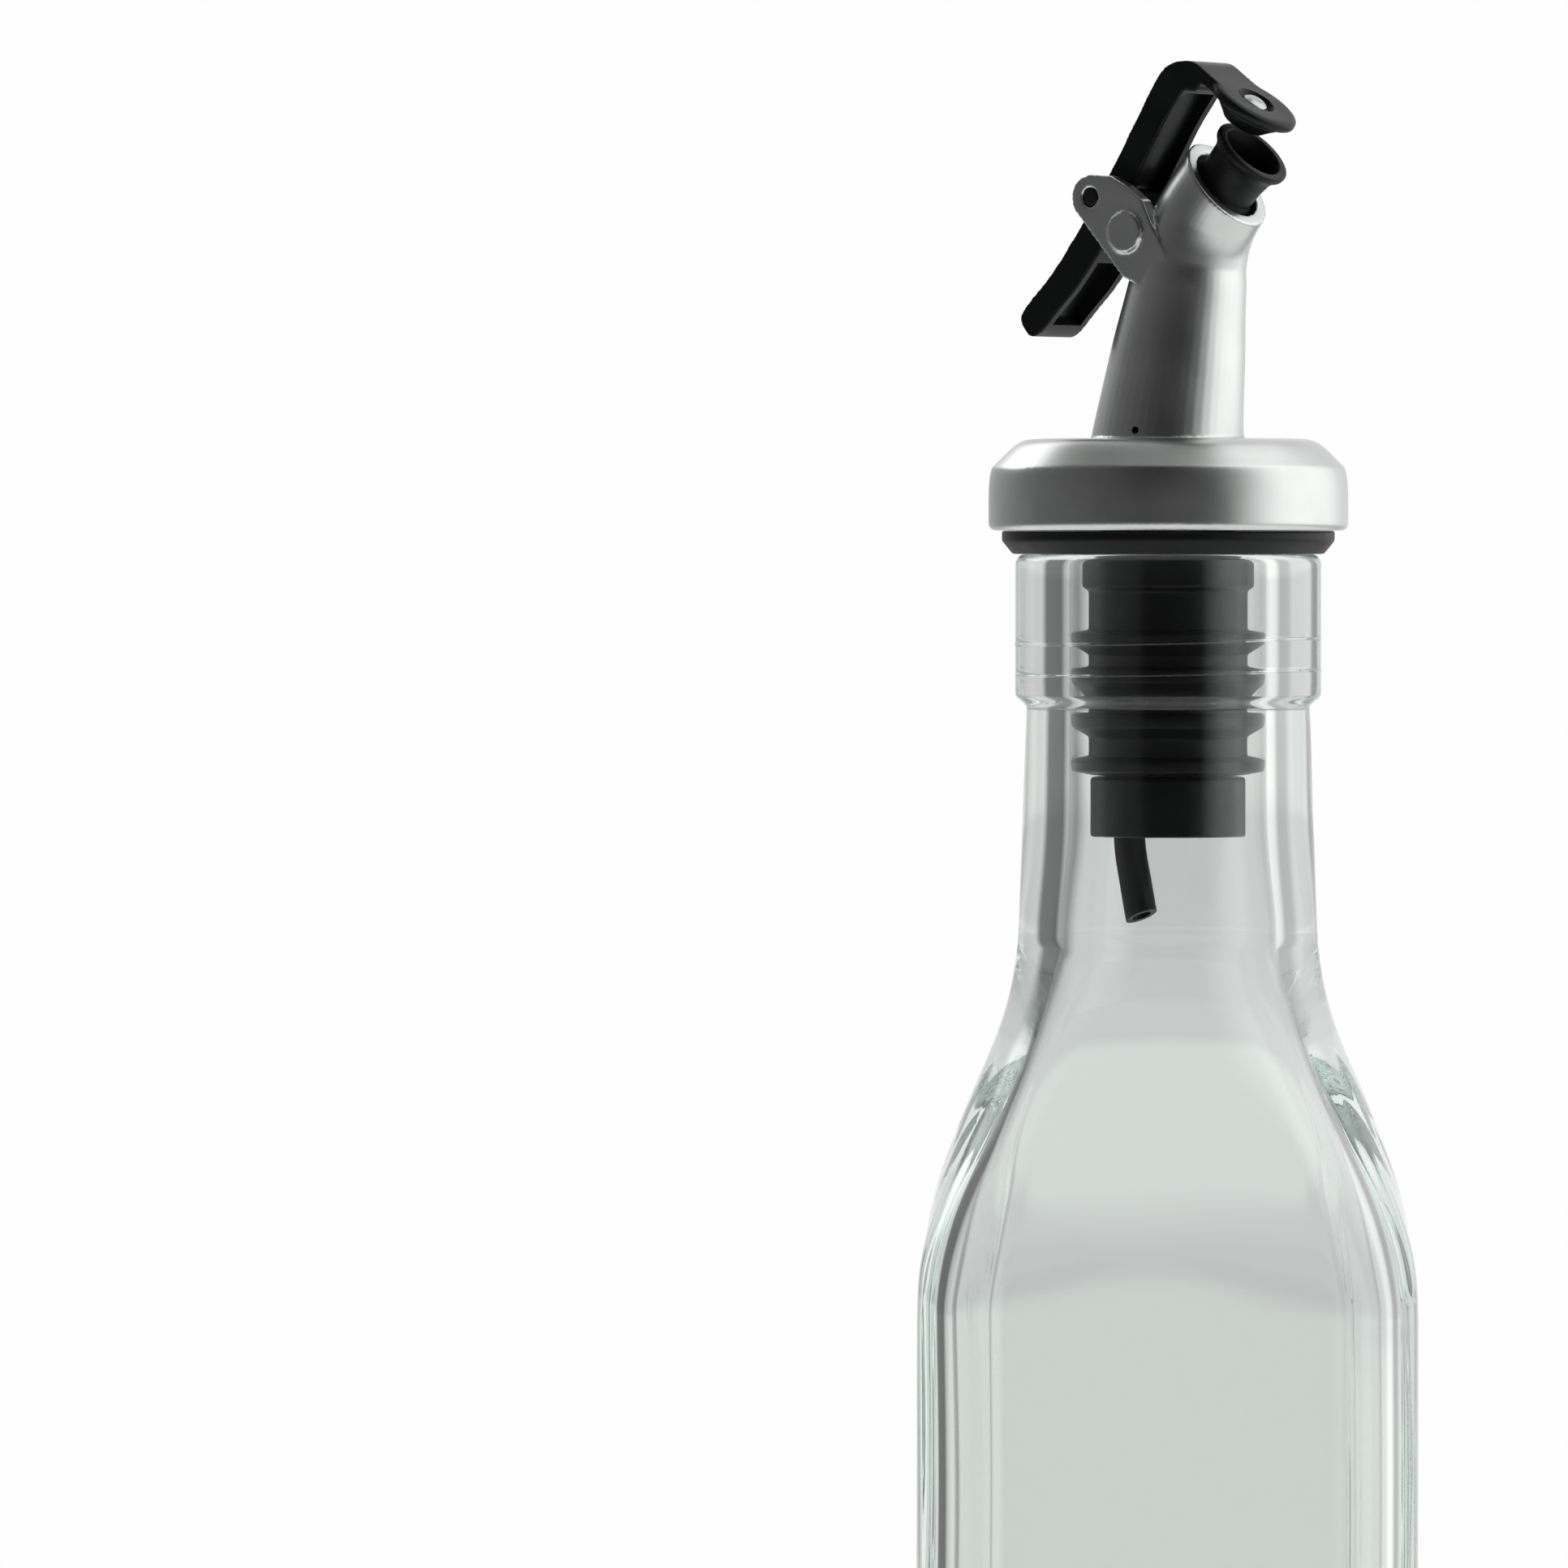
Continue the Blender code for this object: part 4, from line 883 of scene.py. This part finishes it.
def lever():
    normal = rising(NOZZLE_TILT_DEG)
    along = Vector((normal.z, 0.0, -normal.x))
    neck = CAP_FROM_PIN - along * (CAP_RADIUS - 0.4 * MM)
    tip = CAP_FROM_PIN + along * 1.0 * MM
    under = normal * CAP_THICKNESS
    outline = [shut_from_open(x, z) for x, z in LEVER_BACK]
    outline += [(p.x, p.z) for p in (neck, tip, tip - under, neck - along * 0.6 * MM - under)]
    outline += [shut_from_open(x, z) for x, z in LEVER_FRONT]
    body = plate("lever", softened(outline, 0.9 * MM, 5), -LEVER_HALF, LEVER_HALF)
    hub = cylinder("hub", HUB_RADIUS, (0.0, -HUB_HALF, 0.0), (0.0, HUB_HALF, 0.0))
    rim = CAP_THICKNESS
    disc = lathe("disc", softened([
        (0.0, -0.1 * MM), (CAP_RADIUS - 0.5 * MM, 0.0), (CAP_RADIUS, -0.2 * MM),
        (CAP_RADIUS, -rim + 0.2 * MM), (CAP_RADIUS - 0.6 * MM, -rim), (0.0, -rim),
    ], 0.2 * MM, closed=False), 96)
    disc.data.transform(along_nozzle(CAP_FROM_PIN))
    body = cast(joined("lever", [body, hub, disc]), LEVER_GRAIN, LEVER_MELT)
    half = LEVER_HALF - LEVER_WALL
    for corners in (ARM_POCKET, TAIL_POCKET):
        shape = softened([shut_from_open(x, z) for x, z in corners], 0.6 * MM, 5)
        body = cut(body, plate("pocket", shape, -half, half))
    body = cut(body, cylinder(
        "pin_hole", PIN_RADIUS + 0.15 * MM, (0.0, -9.0 * MM, 0.0), (0.0, 9.0 * MM, 0.0), 48
    ))
    body = cut(body, cylinder(
        "dish", 1.5 * MM, CAP_FROM_PIN - normal * DISH_DEPTH,
        CAP_FROM_PIN + normal * 0.2 * MM, 64, end_radius=2.1 * MM,
    ))
    body = cut(body, cylinder(
        "rivet_hole", RIVET_HOLE, CAP_FROM_PIN - normal * 3.0 * MM, CAP_FROM_PIN + normal * MM, 32
    ))
    finished(body, "lever", LEVER_FRAME, PLASTIC, "lever", "flip_lever", 45.0)


def cap_seal():
    """A soft cone under the cap that plugs the nozzle."""
    outline = [
        (0.95 * MM, -1.12 * MM), (3.3 * MM, -1.12 * MM), (3.2 * MM, -1.5 * MM),
        (2.45 * MM, -2.2 * MM), (2.0 * MM, -2.68 * MM), (0.95 * MM, -2.68 * MM),
    ]
    made = lathe("seal", softened(outline, 0.15 * MM), 96)
    finished(made, "seal", CAP_FRAME, SILICONE, "lever", "cap_seal")


def cap_rivet():
    outline = [
        (0.0, 0.12 * MM), (0.7 * MM, 0.06 * MM), (1.2 * MM, -0.2 * MM), (1.25 * MM, -0.4 * MM),
        (0.7 * MM, -0.42 * MM), (0.7 * MM, -2.72 * MM), (0.0, -2.75 * MM),
    ]
    made = lathe("rivet", softened(outline, 0.12 * MM, closed=False), 64)
    finished(made, "rivet", CAP_FRAME, RIVET, "lever", "cap_rivet")


def pivot_pin():
    reach = EAR_OUTER - 0.1 * MM
    outline = [(0.0, -reach), (PIN_RADIUS, -reach), (PIN_RADIUS, reach), (0.0, reach)]
    made = lathe("pin", softened(outline, 0.15 * MM, closed=False), 48)
    made.data.transform(Matrix.Rotation(math.radians(90.0), 4, "X"))
    finished(made, "pin", LEVER_FRAME, PIN_STEEL, "pourer", "pivot_pin")


# ---------------------------------------------------------------- stage, light and camera
def floor():
    bm = bmesh.new()
    bmesh.ops.create_circle(bm, cap_ends=True, radius=FLOOR_SIZE, segments=96)
    mesh = bpy.data.meshes.new("floor")
    bm.to_mesh(mesh)
    bm.free()
    material, tree, shader = new_material("pale_floor")
    shader.inputs["Base Color"].default_value = (0.86, 0.87, 0.865, 1.0)
    shader.inputs["Roughness"].default_value = 0.75
    shader.inputs["Emission Color"].default_value = (1.0, 1.0, 1.0, 1.0)
    shader.inputs["Emission Strength"].default_value = FLOOR_GLOW
    coordinates = add_node(tree, "ShaderNodeTexCoord")
    length = add_node(tree, "ShaderNodeVectorMath", operation="LENGTH")
    tree.links.new(coordinates.outputs["Object"], length.inputs[0])
    fade_from = FLOOR_SIZE * FLOOR_FADE_FROM
    fade = map_range(tree, length.outputs["Value"], fade_from, FLOOR_SIZE, 1.0, 0.0, True)
    tree.links.new(fade, shader.inputs["Alpha"])
    mesh.materials.append(material)
    plane = bpy.data.objects.new("floor", mesh)
    plane.location.z = -FLOOR_DROP
    bpy.context.scene.collection.objects.link(plane)


# Radiance round the horizon as surfaces reflect it, by degrees from the camera's side,
# positive towards +X: dark in front, a broad soft light on the right, dim on the left.
AROUND = (
    (-180, 1.0), (-162, 0.55), (-150, 0.42), (-135, 0.34), (-120, 0.24), (-105, 0.17),
    (-90, 0.13), (-60, 0.095), (-38, 0.06), (-20, 0.035), (0, 0.025), (15, 0.028), (25, 0.05),
    (36, 0.11), (46, 0.38), (55, 0.80), (65, 1.18), (75, 1.42), (90, 1.5), (120, 1.45),
    (135, 1.1), (150, 0.8), (165, 0.85), (180, 1.0),
)
AROUND_PEAK = 1.5
# The same as seen through the glass, as a share of the backdrop.
THROUGH = (
    (-180, 0.97), (-160, 0.95), (-155, 0.6), (-150, 0.22), (-124, 0.20), (-118, 0.65),
    (-108, 0.95), (-76, 0.95), (-64, 0.4), (-30, 0.25), (-24, 0.05), (34, 0.05), (50, 1.6),
    (60, 2.4), (76, 2.4), (84, 1.0), (108, 1.0), (117, 1.35), (125, 1.2), (132, 0.62),
    (145, 0.62), (156, 0.95), (180, 0.97),
)
THROUGH_PEAK = 2.4
# Radiance overhead and underfoot, and where on the way up or down each takes over.
ZENITH = 0.30
ZENITH_DEGREES = (66.0, 82.0)
BELOW = 0.3
BELOW_HEIGHTS = (-0.15, -0.4)
# The backdrop seen through the glass, and its paler foot.
BACKDROP = (0.674, 0.674, 0.682, 1.0)
BACKDROP_LOW = (0.782, 0.803, 0.790, 1.0)
BACKDROP_HEIGHTS = (-0.035, -0.08)
CAMERA_WHITE = (0.99, 0.99, 0.99, 1.0)
LONGEST_PATH = 64

# A lamp high behind the bottle on the left, seen in reflections.
LAMP_TURN_DEG = -140.0
LAMP_HALF_WIDTH_DEG = 13.0
LAMP_HEIGHT = 0.5
LAMP_HALF_HEIGHT = 0.12
LAMP_LEVEL = 2.2


def ring_of_light(tree, share, stops, peak):
    """Radiance by direction round the horizon, from (degrees, level) stops."""
    ramp = add_node(tree, "ShaderNodeValToRGB")
    elements = ramp.color_ramp.elements
    while len(elements) < len(stops):
        elements.new(0.5)
    for element, (degrees, level) in zip(elements, stops):
        element.position = degrees / 360.0 + 0.5
        element.color = (level / peak, level / peak, level / peak, 1.0)
    tree.links.new(share, ramp.inputs["Fac"])
    return math_node(tree, "MULTIPLY", ramp.outputs["Color"], peak)


def blend(tree, factor, first, second):
    """Mix two values or colours by a factor."""
    mix = add_node(tree, "ShaderNodeMix", data_type="RGBA")
    tree.links.new(factor, mix.inputs[0])
    for value, socket in ((first, mix.inputs[6]), (second, mix.inputs[7])):
        if isinstance(value, float):
            value = (value, value, value, 1.0)
        connect(tree, value, socket)
    return mix.outputs[2]


def studio():
    """A studio all round the bottle, with a pale backdrop behind the glass."""
    world = bpy.data.worlds.new("studio")
    bpy.context.scene.world = world
    world.use_nodes = True
    tree = world.node_tree
    background = tree.nodes["Background"]
    coordinates = add_node(tree, "ShaderNodeTexCoord")
    split = add_node(tree, "ShaderNodeSeparateXYZ")
    tree.links.new(coordinates.outputs["Generated"], split.inputs[0])
    x, y, z = split.outputs
    turn = math_node(tree, "ARCTAN2", x, math_node(tree, "MULTIPLY", y, -1.0))
    share = math_node(tree, "MULTIPLY_ADD", turn, 0.5 / math.pi, 0.5)
    zenith_from, zenith_to = (math.sin(math.radians(degrees)) for degrees in ZENITH_DEGREES)
    overhead = map_range(tree, z, zenith_from, zenith_to, 0.0, 1.0, True)
    below = map_range(tree, z, *BELOW_HEIGHTS, 0.0, 1.0, True)
    reflected = blend(tree, overhead, ring_of_light(tree, share, AROUND, AROUND_PEAK), ZENITH)
    reflected = blend(tree, below, reflected, BELOW)
    aside = math_node(tree, "SUBTRACT", turn, math.radians(LAMP_TURN_DEG))
    half_width = math.radians(LAMP_HALF_WIDTH_DEG)
    beside_lamp = map_range(
        tree, math_node(tree, "ABSOLUTE", aside), half_width, half_width * 2.0, 1.0, 0.0, True
    )
    apart = math_node(tree, "ABSOLUTE", math_node(tree, "SUBTRACT", z, LAMP_HEIGHT))
    at_height = map_range(
        tree, apart, LAMP_HALF_HEIGHT, LAMP_HALF_HEIGHT * 2.0, 1.0, 0.0, True
    )
    on_lamp = math_node(tree, "MULTIPLY", beside_lamp, at_height)
    reflected = blend(tree, on_lamp, reflected, LAMP_LEVEL)
    lower = map_range(tree, z, *BACKDROP_HEIGHTS, 0.0, 1.0, True)
    backdrop = blend(tree, lower, BACKDROP, BACKDROP_LOW)
    level = ring_of_light(tree, share, THROUGH, THROUGH_PEAK)
    scaled = add_node(tree, "ShaderNodeVectorMath", operation="SCALE")
    tree.links.new(backdrop, scaled.inputs[0])
    tree.links.new(level, scaled.inputs["Scale"])
    path = add_node(tree, "ShaderNodeLightPath")
    seen = blend(tree, path.outputs["Is Transmission Ray"], reflected, scaled.outputs[0])
    seen = blend(tree, path.outputs["Is Camera Ray"], seen, CAMERA_WHITE)
    tree.links.new(seen, background.inputs["Color"])


def camera():
    data = bpy.data.cameras.new("camera")
    data.lens = CAMERA_LENS
    data.sensor_width = 36.0
    data.clip_start = 0.01
    placed = bpy.data.objects.new("camera", data)
    placed.location = (0.0, -CAMERA_DISTANCE, CAMERA_HEIGHT)
    placed.rotation_euler = (
        math.radians(90.0 + CAMERA_TILT_DEG), 0.0, math.radians(CAMERA_PAN_DEG)
    )
    bpy.context.scene.collection.objects.link(placed)
    bpy.context.scene.camera = placed


def allow_long_light_paths():
    """Let light run along inside the glass walls before it comes out."""
    paths = bpy.context.scene.cycles
    paths.max_bounces = LONGEST_PATH
    paths.glossy_bounces = LONGEST_PATH
    paths.transmission_bounces = LONGEST_PATH


def main():
    allow_long_light_paths()
    dress_cad_nodes()
    glass_bottle()
    stopper_sleeve()
    stopper_core()
    air_tube()
    housing()
    nozzle()
    lever()
    cap_seal()
    cap_rivet()
    pivot_pin()
    floor()
    studio()
    camera()
    bpy.context.scene.view_settings.view_transform = "Standard"


main()
